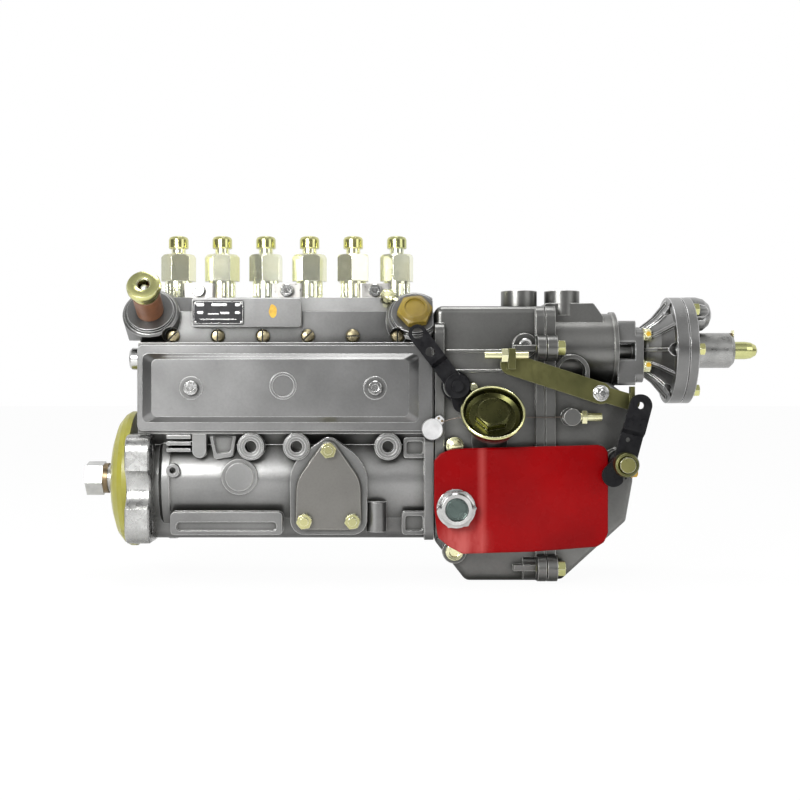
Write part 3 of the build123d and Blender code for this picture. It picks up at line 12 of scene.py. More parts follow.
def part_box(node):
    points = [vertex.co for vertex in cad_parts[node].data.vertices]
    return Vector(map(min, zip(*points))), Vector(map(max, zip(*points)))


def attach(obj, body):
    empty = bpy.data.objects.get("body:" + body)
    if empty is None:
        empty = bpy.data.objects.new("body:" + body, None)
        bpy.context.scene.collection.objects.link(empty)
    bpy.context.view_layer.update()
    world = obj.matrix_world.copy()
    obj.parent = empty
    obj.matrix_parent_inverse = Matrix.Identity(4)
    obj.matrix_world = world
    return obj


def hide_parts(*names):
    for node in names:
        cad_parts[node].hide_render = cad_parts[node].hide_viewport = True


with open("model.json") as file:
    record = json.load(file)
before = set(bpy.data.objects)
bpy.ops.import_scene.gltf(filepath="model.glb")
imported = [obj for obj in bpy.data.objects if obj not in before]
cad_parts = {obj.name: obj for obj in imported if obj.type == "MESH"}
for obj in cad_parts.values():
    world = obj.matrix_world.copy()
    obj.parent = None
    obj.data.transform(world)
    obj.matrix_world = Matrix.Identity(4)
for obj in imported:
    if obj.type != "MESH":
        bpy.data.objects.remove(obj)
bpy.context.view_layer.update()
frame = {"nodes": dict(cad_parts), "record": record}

mm = 0.001
nodes = frame["nodes"]
scene = bpy.context.scene


# Camera, floor and light

CAMERA_PLACE = (171.4 * mm, -967.0 * mm, 66.0 * mm)
LENS_MM = 59.3
SENSOR_MM = 36.0
SHIFT = (0.034, -0.015)

FLOOR_LEVEL = -70.6 * mm
FLOOR_HALF = 9.0
FLOOR_GLOW = 0.95  # share of plain white in what the camera sees of the floor

# Room around the pump: (height from nadir 0 to zenith 1, brightness)
ROOM = ((0.0, 0.30), (0.42, 0.16), (0.50, 0.05), (0.56, 0.10), (0.63, 1.0), (0.78, 1.25), (1.0, 0.45))
ROOM_STRENGTH = 0.7
BACKDROP_EDGE = (0.05, 0.35)  # y of a direction where the white backdrop begins, and where it is full

# Name, place, target, size in metres, watts
LAMPS = (
    ("key", (-0.34, -0.98, 0.40), (0.06, 0, 0.06), 0.36, 9.6),
    ("glint", (-0.15, -1.0, 0.29), (0.02, 0, 0.09), 0.16, 1.4),
    ("fill", (1.2, -0.8, 0.5), (0.22, 0, 0.05), 0.7, 2.4),
    ("top", (0.15, -0.02, 1.3), (0.2, 0, 0.05), 0.6, 7.5),
)


def math_node(tree, operation, first, second=None):
    """Result of a math node; first and second are sockets or numbers."""
    node = tree.nodes.new("ShaderNodeMath")
    node.operation = operation
    for socket, value in zip(node.inputs, (first, second)):
        if isinstance(value, (int, float)):
            socket.default_value = value
        elif value is not None:
            tree.links.new(value, socket)
    return node.outputs[0]


def map_range(tree, value, low, high):
    """Value that runs from 0 at low to 1 at high."""
    node = tree.nodes.new("ShaderNodeMapRange")
    node.inputs["From Min"].default_value = low
    node.inputs["From Max"].default_value = high
    tree.links.new(value, node.inputs["Value"])
    return node.outputs["Result"]


def colour_ramp(tree, value, stops):
    """Colour ramp; each stop is (place, colour or grey level)."""
    node = tree.nodes.new("ShaderNodeValToRGB")
    tree.links.new(value, node.inputs["Fac"])
    elements = node.color_ramp.elements
    elements[0].position = stops[0][0]
    elements[1].position = stops[-1][0]
    for place, _ in stops[1:-1]:
        elements.new(place)
    for element, (_, colour) in zip(elements, stops):
        if isinstance(colour, (int, float)):
            colour = (colour, colour, colour)
        element.color = (*colour, 1)
    return node.outputs["Color"]


def mix_shaders(tree, share, first, second, surface):
    """Links a mix of two shader nodes to a surface input; share is that of the second."""
    mix = tree.nodes.new("ShaderNodeMixShader")
    tree.links.new(share, mix.inputs[0])
    tree.links.new(first.outputs[0], mix.inputs[1])
    tree.links.new(second.outputs[0], mix.inputs[2])
    tree.links.new(mix.outputs[0], surface)


def add_camera():
    """Camera at the photograph's angle: level, looking along +Y."""
    data = bpy.data.cameras.new("camera")
    data.lens = LENS_MM
    data.sensor_width = SENSOR_MM
    data.shift_x, data.shift_y = SHIFT
    camera = bpy.data.objects.new("camera", data)
    camera.location = CAMERA_PLACE
    camera.rotation_euler = (math.radians(90), 0, 0)
    scene.collection.objects.link(camera)
    scene.camera = camera


def add_lamp(name, place, target, size, power):
    """Soft square lamp that looks at a target point."""
    data = bpy.data.lights.new(name, "AREA")
    data.shape = "SQUARE"
    data.size = size
    data.energy = power
    lamp = bpy.data.objects.new(name, data)
    lamp.location = place
    direction = Vector(target) - Vector(place)
    lamp.rotation_euler = direction.to_track_quat("-Z", "Y").to_euler()
    scene.collection.objects.link(lamp)


def add_world():
    """White studio: white backdrop to the camera and in reflections of it, a darker room in front."""
    world = bpy.data.worlds.new("studio")
    scene.world = world
    world.use_nodes = True
    tree = world.node_tree
    tree.nodes.clear()
    out = tree.nodes.new("ShaderNodeOutputWorld")
    coord = tree.nodes.new("ShaderNodeTexCoord")
    direction = tree.nodes.new("ShaderNodeSeparateXYZ")
    tree.links.new(coord.outputs["Generated"], direction.inputs[0])
    height = map_range(tree, direction.outputs["Z"], -1.0, 1.0)
    room = tree.nodes.new("ShaderNodeBackground")
    room.inputs["Strength"].default_value = ROOM_STRENGTH
    tree.links.new(colour_ramp(tree, height, ROOM), room.inputs["Color"])
    backdrop = tree.nodes.new("ShaderNodeBackground")
    backdrop.inputs["Color"].default_value = (1, 1, 1, 1)
    ray = tree.nodes.new("ShaderNodeLightPath")
    mirror = math_node(tree, "MAXIMUM", ray.outputs["Is Glossy Ray"], ray.outputs["Is Transmission Ray"])
    behind = map_range(tree, direction.outputs["Y"], *BACKDROP_EDGE)
    seen = math_node(tree, "MULTIPLY", mirror, behind)
    share = math_node(tree, "MAXIMUM", seen, ray.outputs["Is Camera Ray"])
    mix_shaders(tree, share, room, backdrop, out.inputs["Surface"])


def add_floor():
    """Pale floor under the pump."""
    mesh = bpy.data.meshes.new("floor")
    corners = ((-1, -1), (1, -1), (1, 1), (-1, 1))
    mesh.from_pydata([(FLOOR_HALF * x, FLOOR_HALF * y, FLOOR_LEVEL) for x, y in corners], [], [(0, 1, 2, 3)])
    floor = bpy.data.objects.new("floor", mesh)
    scene.collection.objects.link(floor)
    material = bpy.data.materials.new("floor_white")
    material.use_nodes = True
    tree = material.node_tree
    shader = tree.nodes["Principled BSDF"]
    shader.inputs["Base Color"].default_value = (0.93, 0.93, 0.93, 1)
    shader.inputs["Roughness"].default_value = 0.9
    glow = tree.nodes.new("ShaderNodeEmission")
    glow.inputs["Color"].default_value = (1, 1, 1, 1)
    glow.inputs["Strength"].default_value = 1.0
    ray = tree.nodes.new("ShaderNodeLightPath")
    share = math_node(tree, "MULTIPLY", ray.outputs["Is Camera Ray"], FLOOR_GLOW)
    mix_shaders(tree, share, shader, glow, tree.nodes["Material Output"].inputs["Surface"])
    mesh.materials.append(material)


# Materials

WHITE = (1.0, 1.0, 1.0)
TOOL_LINES = (1.0, 30.0, 30.0)
ZINC_RIM = (0.95, 0.95, 0.80)
TAG_FOLD_X = 247
TAG_BENT_CORNER = (233 * mm, -56 * mm, -42 * mm)


class Shader:
    """Principled material with helper calls for its procedural detail."""

    def __init__(self, name, metallic, roughness, base):
        self.material = bpy.data.materials.new(name)
        self.material.use_nodes = True
        self.tree = self.material.node_tree
        self.bsdf = self.tree.nodes["Principled BSDF"]
        self.bsdf.inputs["Metallic"].default_value = metallic
        self.bsdf.inputs["Roughness"].default_value = roughness
        self.bsdf.inputs["Base Color"].default_value = (*base, 1)
        self.coord = self.add("ShaderNodeTexCoord").outputs["Object"]
        self.normal = None

    def add(self, kind, **values):
        """New node with its socket values set by name."""
        node = self.tree.nodes.new(kind)
        for key, value in values.items():
            node.inputs[key.replace("_", " ")].default_value = value
        return node

    def link(self, source, target):
        self.tree.links.new(source, target)

    def noise(self, scale, detail, rough, stretch=None):
        """Noise value in object space, stretched along an axis where asked."""
        node = self.add("ShaderNodeTexNoise", Scale=scale, Detail=detail, Roughness=rough)
        place = self.coord
        if stretch:
            mapping = self.add("ShaderNodeMapping", Scale=stretch)
            self.link(place, mapping.inputs["Vector"])
            place = mapping.outputs[0]
        self.link(place, node.inputs["Vector"])
        return node.outputs["Fac"]

    def ramp(self, value, *stops):
        """Colour ramp; each stop is (place, colour or grey level)."""
        return colour_ramp(self.tree, value, stops)

    def blend(self, factor, low, high, mode="MIX"):
        """Colour mix; low and high are colours or sockets."""
        node = self.add("ShaderNodeMix")
        node.data_type = "RGBA"
        node.blend_type = mode
        for socket, value in ((node.inputs[6], low), (node.inputs[7], high)):
            if isinstance(value, tuple):
                socket.default_value = (*value, 1)
            else:
                self.link(value, socket)
        if isinstance(factor, float):
            node.inputs[0].default_value = factor
        else:
            self.link(factor, node.inputs[0])
        return node.outputs[2]

    def rounded(self, radius):
        """Normal with sharp edges rounded."""
        bevel = self.add("ShaderNodeBevel", Radius=radius)
        bevel.samples = 4
        return bevel.outputs[0]

    def edges(self, radius, low=0.80, high=0.985):
        """Mask that is 1 near sharp edges, from a rounded normal."""
        dot = self.add("ShaderNodeVectorMath")
        dot.operation = "DOT_PRODUCT"
        self.link(self.rounded(radius), dot.inputs[0])
        self.link(self.add("ShaderNodeNewGeometry").outputs["Normal"], dot.inputs[1])
        return map_range(self.tree, dot.outputs["Value"], high, low)

    def round_normal(self, radius):
        """Rounds the shading of sharp edges."""
        self.normal = self.rounded(radius)
        self.link(self.normal, self.bsdf.inputs["Normal"])

    def bump(self, value, strength, distance):
        """Adds a bump on top of what the normal has."""
        node = self.add("ShaderNodeBump", Strength=strength, Distance=distance)
        self.link(value, node.inputs["Height"])
        if self.normal is not None:
            self.link(self.normal, node.inputs["Normal"])
        self.normal = node.outputs[0]
        self.link(self.normal, self.bsdf.inputs["Normal"])

    def colour(self, socket):
        self.link(socket, self.bsdf.inputs["Base Color"])

    def roughness(self, socket):
        self.link(socket, self.bsdf.inputs["Roughness"])


def scaled(colour, factor, lift=0.0):
    """Colour times a factor, plus a lift, up to white."""
    return tuple(min(1.0, part * factor + lift) for part in colour)


def cast_alloy(name, dark, light, grain=0.3, hollow=0.68, cloud=14.0):
    """Cast aluminium: grey skin with fine grain, painted shade in the hollows, edges rubbed bright and
    lightened further as a painted highlight.
    """
    s = Shader(name, 0.9, 0.4, light)
    s.round_normal(0.8 * mm)
    middle = tuple((low + high) / 2 for low, high in zip(dark, light))
    skin = s.ramp(s.noise(cloud, 3.0, 0.5), (0.28, dark), (0.50, middle), (0.74, light))
    fleck = s.ramp(s.noise(620.0, 3.0, 0.7), (0.38, (0.62, 0.62, 0.61)), (0.58, WHITE))
    skin = s.blend(0.16, skin, fleck, "MULTIPLY")
    spot = s.ramp(s.noise(210.0, 2.0, 0.5), (0.66, WHITE), (0.74, (0.55, 0.54, 0.52)))
    skin = s.blend(0.12, skin, spot, "MULTIPLY")
    # Ambient occlusion darkens the skin in hollows and corners: painted shade.
    shelter = s.add("ShaderNodeAmbientOcclusion", Distance=9 * mm)
    shelter.samples = 6
    deep = 1 - hollow
    painted_hollow_shade = s.ramp(shelter.outputs["AO"], (0.40, (deep, deep, deep * 0.95)), (0.92, WHITE))
    skin = s.blend(1.0, skin, painted_hollow_shade, "MULTIPLY")
    # Sharp edges go to 3.2 times the light tone: rubbed edges, made brighter still as a painted highlight.
    skin = s.blend(s.edges(0.9 * mm), skin, scaled(light, 3.2))
    s.colour(skin)
    s.roughness(s.ramp(s.noise(500.0, 3.0, 0.6), (0.3, 0.275), (0.7, 0.315)))
    s.bump(s.noise(1100.0, 3.0, 0.65), grain, 0.16 * mm)
    s.bump(s.noise(60.0, 3.0, 0.5), grain * 0.5, 1.0 * mm)
    return s.material


def machined(name, base, roughness, tint=0.12):
    """Turned or milled metal with fine tool lines and a little stain."""
    s = Shader(name, 1.0, roughness, base)
    s.round_normal(0.35 * mm)
    low, high = scaled(base, 1 - tint * 2.2), scaled(base, 1 + tint)
    skin = s.ramp(s.noise(70.0, 4.0, 0.6), (0.32, low), (0.68, high))
    skin = s.blend(s.edges(0.5 * mm), skin, scaled(base, 1.25, 0.06))
    s.colour(skin)
    s.roughness(s.ramp(s.noise(240.0, 3.0, 0.6), (0.3, roughness * 0.75), (0.7, roughness * 1.35)))
    s.bump(s.noise(420.0, 2.0, 0.5, TOOL_LINES), 0.12, 0.08 * mm)
    return s.material


def zinc(name, base, warm, roughness, rim=ZINC_RIM, metallic=1.0):
    """Chromated zinc plate: thin yellow to green film over a bright metal, paler on its edges."""
    s = Shader(name, metallic, roughness, base)
    s.round_normal(0.4 * mm)
    patches = s.ramp(s.noise(34.0, 2.0, 0.5), (0.30, base), (0.70, warm))
    shade = s.ramp(s.noise(210.0, 3.0, 0.6), (0.30, (0.88, 0.90, 0.82)), (0.66, (1.0, 1.0, 0.97)))
    skin = s.blend(0.5, patches, shade, "MULTIPLY")
    skin = s.blend(s.edges(0.6 * mm), skin, rim)
    s.colour(skin)
    s.roughness(s.ramp(s.noise(300.0, 3.0, 0.6), (0.3, roughness * 0.9), (0.7, roughness * 1.15)))
    s.bump(s.noise(700.0, 2.0, 0.5), 0.05, 0.05 * mm)
    return s.material


def plastic(name, base, dark, roughness, glow=0.0):
    """Moulded plastic with faint flow marks; glow is the share of light that spreads in it."""
    s = Shader(name, 0.0, roughness, base)
    s.round_normal(0.4 * mm)
    s.colour(s.ramp(s.noise(46.0, 4.0, 0.55), (0.3, dark), (0.62, base)))
    s.roughness(s.ramp(s.noise(210.0, 3.0, 0.6), (0.3, roughness * 0.8), (0.7, roughness * 1.25)))
    s.bump(s.noise(800.0, 2.0, 0.5), 0.05, 0.1 * mm)
    if glow:
        s.bsdf.inputs["Subsurface Weight"].default_value = glow
        s.bsdf.inputs["Subsurface Radius"].default_value = (3 * mm, 2.4 * mm, 0.6 * mm)
        s.bsdf.inputs["Subsurface Scale"].default_value = 1.0
    return s.material


def black_coat(name):
    """Black dip coat on a lever: semi gloss, worn through a little at its edges."""
    s = Shader(name, 0.0, 0.32, (0.006, 0.006, 0.007))
    s.bsdf.inputs["Specular IOR Level"].default_value = 0.16
    s.round_normal(0.5 * mm)
    skin = s.ramp(s.noise(120.0, 4.0, 0.6), (0.3, (0.004, 0.004, 0.005)), (0.7, (0.012, 0.012, 0.013)))
    worn = s.blend(s.edges(0.5 * mm, 0.6, 0.95), (0.0, 0.0, 0.0), WHITE)
    chip = s.ramp(s.noise(350.0, 4.0, 0.7), (0.55, 0.0), (0.70, 0.5))
    mask = s.blend(1.0, worn, chip, "MULTIPLY")
    s.colour(s.blend(mask, skin, (0.16, 0.15, 0.14)))
    s.roughness(s.ramp(s.noise(260.0, 3.0, 0.6), (0.3, 0.22), (0.7, 0.42)))
    s.bump(s.noise(600.0, 3.0, 0.6), 0.10, 0.1 * mm)
    return s.material


def gasket_black(name):
    """Gasket paper and rubber: dull and fibrous."""
    s = Shader(name, 0.0, 0.8, (0.03, 0.03, 0.03))
    s.colour(s.ramp(s.noise(400.0, 4.0, 0.7), (0.3, (0.018, 0.018, 0.018)), (0.7, (0.06, 0.057, 0.05))))
    s.bump(s.noise(900.0, 3.0, 0.6), 0.3, 0.1 * mm)
    return s.material


def tag_red(name):
    """Glossy red plastic film, paler along the crease, with a painted highlight on the lifted lower corner.
    """
    s = Shader(name, 0.0, 0.3, (0.24, 0.0, 0.003))
    red = s.ramp(s.noise(18.0, 3.0, 0.5), (0.32, (0.16, 0.001, 0.002)), (0.66, (0.23, 0.001, 0.002)))
    place = s.add("ShaderNodeSeparateXYZ")
    s.link(s.coord, place.inputs[0])
    from_fold = math_node(s.tree, "SUBTRACT", place.outputs["X"], TAG_FOLD_X * mm)
    near_fold = math_node(s.tree, "ABSOLUTE", from_fold)
    pale_fold = s.ramp(near_fold, (0.0002, 0.30), (0.0011, 0.0))
    corner = s.add("ShaderNodeVectorMath")
    corner.operation = "DISTANCE"
    corner.inputs[1].default_value = TAG_BENT_CORNER
    s.link(s.coord, corner.inputs[0])
    # Paler streaked patch round the lifted lower corner: a painted highlight.
    painted_corner_highlight = s.ramp(corner.outputs["Value"], (0.006, 0.42), (0.021, 0.0))
    streak = s.ramp(s.noise(90.0, 3.0, 0.6, (1.0, 1.0, 0.3)), (0.35, 0.3), (0.65, 1.0))
    red = s.blend(pale_fold, red, (0.55, 0.12, 0.11))
    red = s.blend(s.blend(1.0, painted_corner_highlight, streak, "MULTIPLY"), red, (0.72, 0.22, 0.20))
    s.colour(red)
    s.roughness(s.ramp(s.noise(70.0, 3.0, 0.6), (0.3, 0.20), (0.7, 0.34)))
    s.bump(s.noise(30.0, 2.0, 0.4), 0.25, 0.8 * mm)
    s.bump(s.noise(320.0, 2.0, 0.5), 0.06, 0.1 * mm)
    s.bsdf.inputs["Specular IOR Level"].default_value = 0.10
    return s.material


def plate_black(name):
    """Anodised black name plate."""
    s = Shader(name, 0.1, 0.45, (0.012, 0.012, 0.013))
    s.bsdf.inputs["Specular IOR Level"].default_value = 0.25
    s.colour(s.ramp(s.noise(260.0, 4.0, 0.65), (0.3, (0.007, 0.007, 0.008)), (0.7, (0.018, 0.018, 0.020))))
    s.roughness(s.ramp(s.noise(320.0, 3.0, 0.6), (0.3, 0.28), (0.7, 0.46)))
    s.bump(s.noise(700.0, 2.0, 0.5), 0.08, 0.06 * mm)
    return s.material


def paint(name, base, dark):
    """Brushed on inspection paint: uneven, half gloss."""
    s = Shader(name, 0.0, 0.36, base)
    s.colour(s.ramp(s.noise(260.0, 4.0, 0.6), (0.3, dark), (0.62, base)))
    s.bump(s.noise(500.0, 2.0, 0.5), 0.35, 0.15 * mm)
    return s.material


# Each material's function and values: the record's slots first, then single nodes and small pieces
LOOKS = {
    "cast_alloy": (cast_alloy, (0.125, 0.125, 0.123), (0.27, 0.27, 0.265)),
    "machined_alloy": (machined, (0.42, 0.42, 0.41), 0.26),
    "sheet_alloy": (cast_alloy, (0.085, 0.085, 0.084), (0.26, 0.26, 0.257), 0.08, 0.55, 11.0),
    "steel": (machined, (0.42, 0.41, 0.39), 0.34),
    "bright_steel": (machined, (0.52, 0.52, 0.51), 0.18),
    "dark_steel": (machined, (0.20, 0.15, 0.09), 0.34),
    "yellow_zinc": (zinc, (0.76, 0.76, 0.52), (0.82, 0.78, 0.46), 0.2, ZINC_RIM, 0.9),
    "olive_zinc": (zinc, (0.26, 0.25, 0.10), (0.38, 0.35, 0.14), 0.30),
    "brown_sleeve": (plastic, (0.20, 0.085, 0.04), (0.11, 0.045, 0.022), 0.36),
    "yellow_plastic": (plastic, (0.30, 0.285, 0.035), (0.22, 0.205, 0.02), 0.34, 0.3),
    "mustard_plastic": (plastic, (0.24, 0.17, 0.018), (0.155, 0.105, 0.010), 0.38, 0.15),
    "black_coat": (black_coat,),
    "gasket": (gasket_black,),
    "tag_red": (tag_red,),
    "lead": (machined, (0.66, 0.66, 0.66), 0.42),
    # Copy of cast alloy, 1.5 times lighter: the aneroid's highlights painted into its colour.
    "cast_light": (cast_alloy, (0.19, 0.19, 0.187), (0.42, 0.42, 0.413)),
    "cast_dark": (cast_alloy, (0.125, 0.125, 0.12), (0.25, 0.25, 0.24)),
    "plate_grey": (cast_alloy, (0.155, 0.15, 0.14), (0.21, 0.205, 0.19), 0.08, 0.2),
    "tube_alloy": (machined, (0.36, 0.36, 0.35), 0.30),
    "holder_zinc": (zinc, (0.84, 0.86, 0.71), (0.92, 0.90, 0.66), 0.17, (1.0, 1.0, 0.9), 0.86),
    "cap_zinc": (zinc, (0.56, 0.57, 0.27), (0.70, 0.67, 0.30), 0.2),
    # Near black zinc for the filler cap's dish: its own dark olive, darkened further as painted shade in the
    # dish.
    "cap_dark": (zinc, (0.035, 0.037, 0.014), (0.075, 0.072, 0.028), 0.28, (0.30, 0.29, 0.16)),
    "cap_olive": (zinc, (0.22, 0.21, 0.10), (0.34, 0.31, 0.15), 0.26),
    "nut_zinc": (zinc, (0.36, 0.36, 0.19), (0.50, 0.47, 0.24), 0.22),
    "olive_drab": (zinc, (0.085, 0.086, 0.036), (0.15, 0.145, 0.062), 0.38, (0.40, 0.39, 0.22)),
    "plate_black": (plate_black,),
    "paint_yellow": (paint, (0.62, 0.38, 0.02), (0.42, 0.24, 0.01)),
    "brass_dark": (machined, (0.30, 0.26, 0.16), 0.28, 0.25),
    "wire_rust": (machined, (0.16, 0.13, 0.11), 0.4),
    "plug_green": (machined, (0.10, 0.13, 0.12), 0.3),
}
materials = {name: make(name, *values) for name, (make, *values) in LOOKS.items()}

# Nodes that look different from the rest of their slot
OWN_LOOKS = {
    "stop_shaft": "black_coat",
    "lever_bracket": "olive_drab",
    "barrel_screws": "brass_dark",
    "delivery_valve_holders": "holder_zinc",
    "blanking_plate": "plate_grey",
    "blanking_nuts": "nut_zinc",
    "spring_tube": "tube_alloy",
    "governor_housing": "cast_dark",
    "governor_cover": "cast_dark",
    "governor_bolts": "cap_zinc",
    # The filler cap's dish: dark olive plus painted shade.
    "oil_filler_cap": "cap_dark",
    "outlet_caps": "cap_zinc",
    "inlet_cap": "cap_zinc",
    "acorn_nut": "cap_zinc",
    # The aneroid parts take the lighter copy of cast alloy, a painted highlight.
    "aneroid_adapter": "cast_light",
    "aneroid_housing": "cast_light",
    "aneroid_cover": "cast_light",
    "aneroid_bolts": "cap_zinc",
}

# Material, body and slot of small pieces
ZINC = ("yellow_zinc", "root", "yellow_zinc")
CAP = ("cap_zinc", "root", "yellow_zinc")
BRIGHT = ("bright_steel", "root", "bright_steel")
DARK = ("dark_steel", "root", "dark_steel")
ALLOY = ("machined_alloy", "root", "machined_alloy")
BLACK = ("black_coat", "root", "black_coat")
LEAD = ("lead", "root", "lead")
PAINT = ("paint_yellow", "root", "yellow_plastic")


# Shapes of small pieces, with sizes in mm

SHARP_ANGLE = math.radians(35)


def facing(origin, normal=(0, -1, 0), up=(0, 0, 1)):
    """Matrix of a local frame in mm: z along the normal, y as near to up as it can be."""
    z = Vector(normal).normalized()
    x = Vector(up).cross(z).normalized()
    y = z.cross(x)
    turn = Matrix((x, y, z)).transposed().to_4x4()
    return Matrix.Translation(Vector(origin) * mm) @ turn @ Matrix.Scale(mm, 4)


def leaning(origin, degrees):
    """Matrix of a local frame in mm whose z is -Y, tilted up by so many degrees."""
    lift = math.radians(degrees)
    return facing(origin, (0, -math.cos(lift), math.sin(lift)), (0, math.sin(lift), math.cos(lift)))


def to_mesh(work, name, place):
    """Mesh of a bmesh in mm, with its faces turned outward and its points moved to their place."""
    bmesh.ops.recalc_face_normals(work, faces=work.faces)
    bmesh.ops.transform(work, matrix=place, verts=work.verts)
    mesh = bpy.data.meshes.new(name)
    work.to_mesh(mesh)
    work.free()
    return mesh


def add_piece(name, mesh, material, body, bevel=0.0):
    """Links a mesh as a piece of the object, with rounded edges if bevel is given."""
    piece = bpy.data.objects.new(name, mesh)
    scene.collection.objects.link(piece)
    mesh.materials.append(materials[material])
    mesh.shade_smooth()
    mesh.set_sharp_from_angle(angle=SHARP_ANGLE)
    if bevel:
        edge = piece.modifiers.new("edge", "BEVEL")
        edge.width = bevel * mm
        edge.segments = 2
        edge.limit_method = "ANGLE"
        edge.harden_normals = False
    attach(piece, body)
    return piece


def lathe(name, profile, place, material, body, slot_name, sides=40):
    """Turned piece; the profile is (radius, height), from the axis or closed round."""
    work = bmesh.new()
    rings = []
    for radius, height in profile:
        if radius < 1e-6:
            rings.append([work.verts.new((0, 0, height))])
            continue
        angles = [2 * math.pi * index / sides for index in range(sides)]
        rings.append([work.verts.new((radius * math.cos(a), radius * math.sin(a), height)) for a in angles])
    for low, high in zip(rings, rings[1:]):
        if len(low) == 1 and len(high) == 1:
            continue
        for index in range(sides):
            after = (index + 1) % sides
            if len(low) == 1:
                work.faces.new((low[0], high[index], high[after]))
            elif len(high) == 1:
                work.faces.new((low[index], low[after], high[0]))
            else:
                work.faces.new((low[index], low[after], high[after], high[index]))
    add_piece(name, to_mesh(work, name, place), material, body)


def prism(name, points, low, high, bevel, place, material, body, slot_name):
    """Flat piece on an outline, from height low to high, with rounded edges."""
    work = bmesh.new()
    bottom = [work.verts.new((x, y, low)) for x, y in points]
    top = [work.verts.new((x, y, high)) for x, y in points]
    work.faces.new(bottom)
    work.faces.new(top)
    for index in range(len(points)):
        after = (index + 1) % len(points)
        work.faces.new((bottom[index], bottom[after], top[after], top[index]))
    add_piece(name, to_mesh(work, name, place), material, body, bevel)


def rounded_box(width, height, corner):
    """Outline of a rectangle with round corners."""
    points = []
    steps = 5
    for index, (sx, sy) in enumerate(((1, 1), (-1, 1), (-1, -1), (1, -1))):
        for step in range(steps + 1):
            angle = math.pi / 2 * (index + step / steps)
            x = sx * (width / 2 - corner) + corner * math.cos(angle)
            y = sy * (height / 2 - corner) + corner * math.sin(angle)
            points.append((x, y))
    return points


def hex_points(across_flats, turn):
    """Outline of a hexagon, turned by so many degrees."""
    reach = across_flats / math.sqrt(3)
    angles = [math.radians(60 * index + turn) for index in range(6)]
    return [(reach * math.cos(angle), reach * math.sin(angle)) for angle in angles]


def hex_screw(name, place, across_flats, height, turn, material, body, slot_name):
    """Hexagon head on a washer face, with a crowned top."""
    finish = (material, body, slot_name)
    reach = across_flats / math.sqrt(3)
    rim, crown = across_flats * 0.46, across_flats * 0.40
    washer = [(0, 0), (reach * 1.08, 0), (reach * 1.08, 0.7), (reach * 0.9, 1.0), (0, 1.0)]
    lathe(f"{name}_washer", washer, place, *finish)
    prism(f"{name}_head", hex_points(across_flats, turn), 0.9, height, 0.5, place, *finish)
    top = [(0, height - 0.1), (rim, height - 0.1), (crown, height + 0.35), (0, height + 0.5)]
    lathe(f"{name}_crown", top, place, *finish)


def blob(name, centre, normal, width, height, seed, material, body, slot_name):
    """Thin dab with an uneven round outline."""
    wobble = random.Random(seed)
    count = 28
    lumps = [wobble.uniform(-0.12, 0.12) for _ in range(4)]
    points = []
    for index in range(count):
        angle = 2 * math.pi * index / count
        reach = 1 + sum(lump * math.cos((k + 2) * angle + k) for k, lump in enumerate(lumps))
        points.append((width / 2 * reach * math.cos(angle), height / 2 * reach * math.sin(angle)))
    prism(name, points, -0.2, 0.18, 0.15, facing(centre, normal), material, body, slot_name)


def add_curve(name, points):
    """Smooth curve without thickness along points in metres."""
    data = bpy.data.curves.new(name, "CURVE")
    data.dimensions = "3D"
    spline = data.splines.new("NURBS")
    spline.points.add(len(points) - 1)
    for spot, place in zip(spline.points, points):
        spot.co = (*place, 1)
    spline.order_u = 3
    spline.use_endpoint_u = True
    spline.resolution_u = 12
    curve = bpy.data.objects.new(name, data)
    scene.collection.objects.link(curve)
    return curve


def make_wire(curve, radius, material, body):
    """Gives a curve a round section, and makes it a piece of the object."""
    curve.data.bevel_depth = radius * mm
    curve.data.bevel_resolution = 3
    curve.data.materials.append(materials[material])
    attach(curve, body)


def coil(name, centre, radius, wire, turns, length, material, body, slot_name):
    """Coil spring along -Y."""
    steps = 16
    count = steps * turns
    points = []
    for index in range(count + 1):
        angle = 2 * math.pi * index / steps
        x = (centre[0] + radius * math.cos(angle)) * mm
        y = (centre[1] - length * index / count) * mm
        z = (centre[2] + radius * math.sin(angle)) * mm
        points.append((x, y, z))
    make_wire(add_curve(name, points), wire, material, body)


def taut_wire(name, points, radius, material, body):
    """Thin wire on one smooth line."""
    wire = add_curve(name, [Vector(place) * mm for place in points])
    bpy.context.view_layer.update()
    line = bpy.data.meshes.new_from_object(wire)
    bpy.data.meshes.remove(line)
    make_wire(wire, radius, material, body)


# Pieces of the pump, with places in mm

TIMING_PLUG_X, TIMING_PLUG_Z = 228.9, -17.3
ELEMENT_PITCH = 32


def dress_nodes():
    """Gives each CAD node the material of its slot, or its own look."""
    for row in frame["record"]["subparts"]:
        look = materials[OWN_LOOKS.get(row["node"], row["material_slot"])]
        piece = nodes[row["node"]]
        piece.data.materials.clear()
        piece.data.materials.append(look)


def height_at(line, x):
    """Height of a run of points at x."""
    for (x0, z0), (x1, z1) in zip(line, line[1:]):
        if x <= x1:
            return z0 + (z1 - z0) * (x - x0) / (x1 - x0)
    return line[-1][1]


def tag_y(x, z):
    """Y of the tag: it lies flat round the plug, then has a crease, a curl and a lifted corner."""
    flat_radius, fade = 14, 30
    distance = math.hypot(x - TIMING_PLUG_X, z - TIMING_PLUG_Z)
    free = min(1.0, max(0.0, (distance - flat_radius) / fade))
    crease = 1.1 * math.exp(-abs(x - TAG_FOLD_X) / 2.2)
    curl = 0.9 * math.sin(x / 17.0 + z / 31.0) + 0.6 * math.sin(z / 11.0 - x / 40.0)
    lift = max(0.0, (234 - x) / 20) * max(0.0, (-30 - z) / 18)
    return -55.9 + free * (0.55 * curl - crease) - 0.8 * free * lift


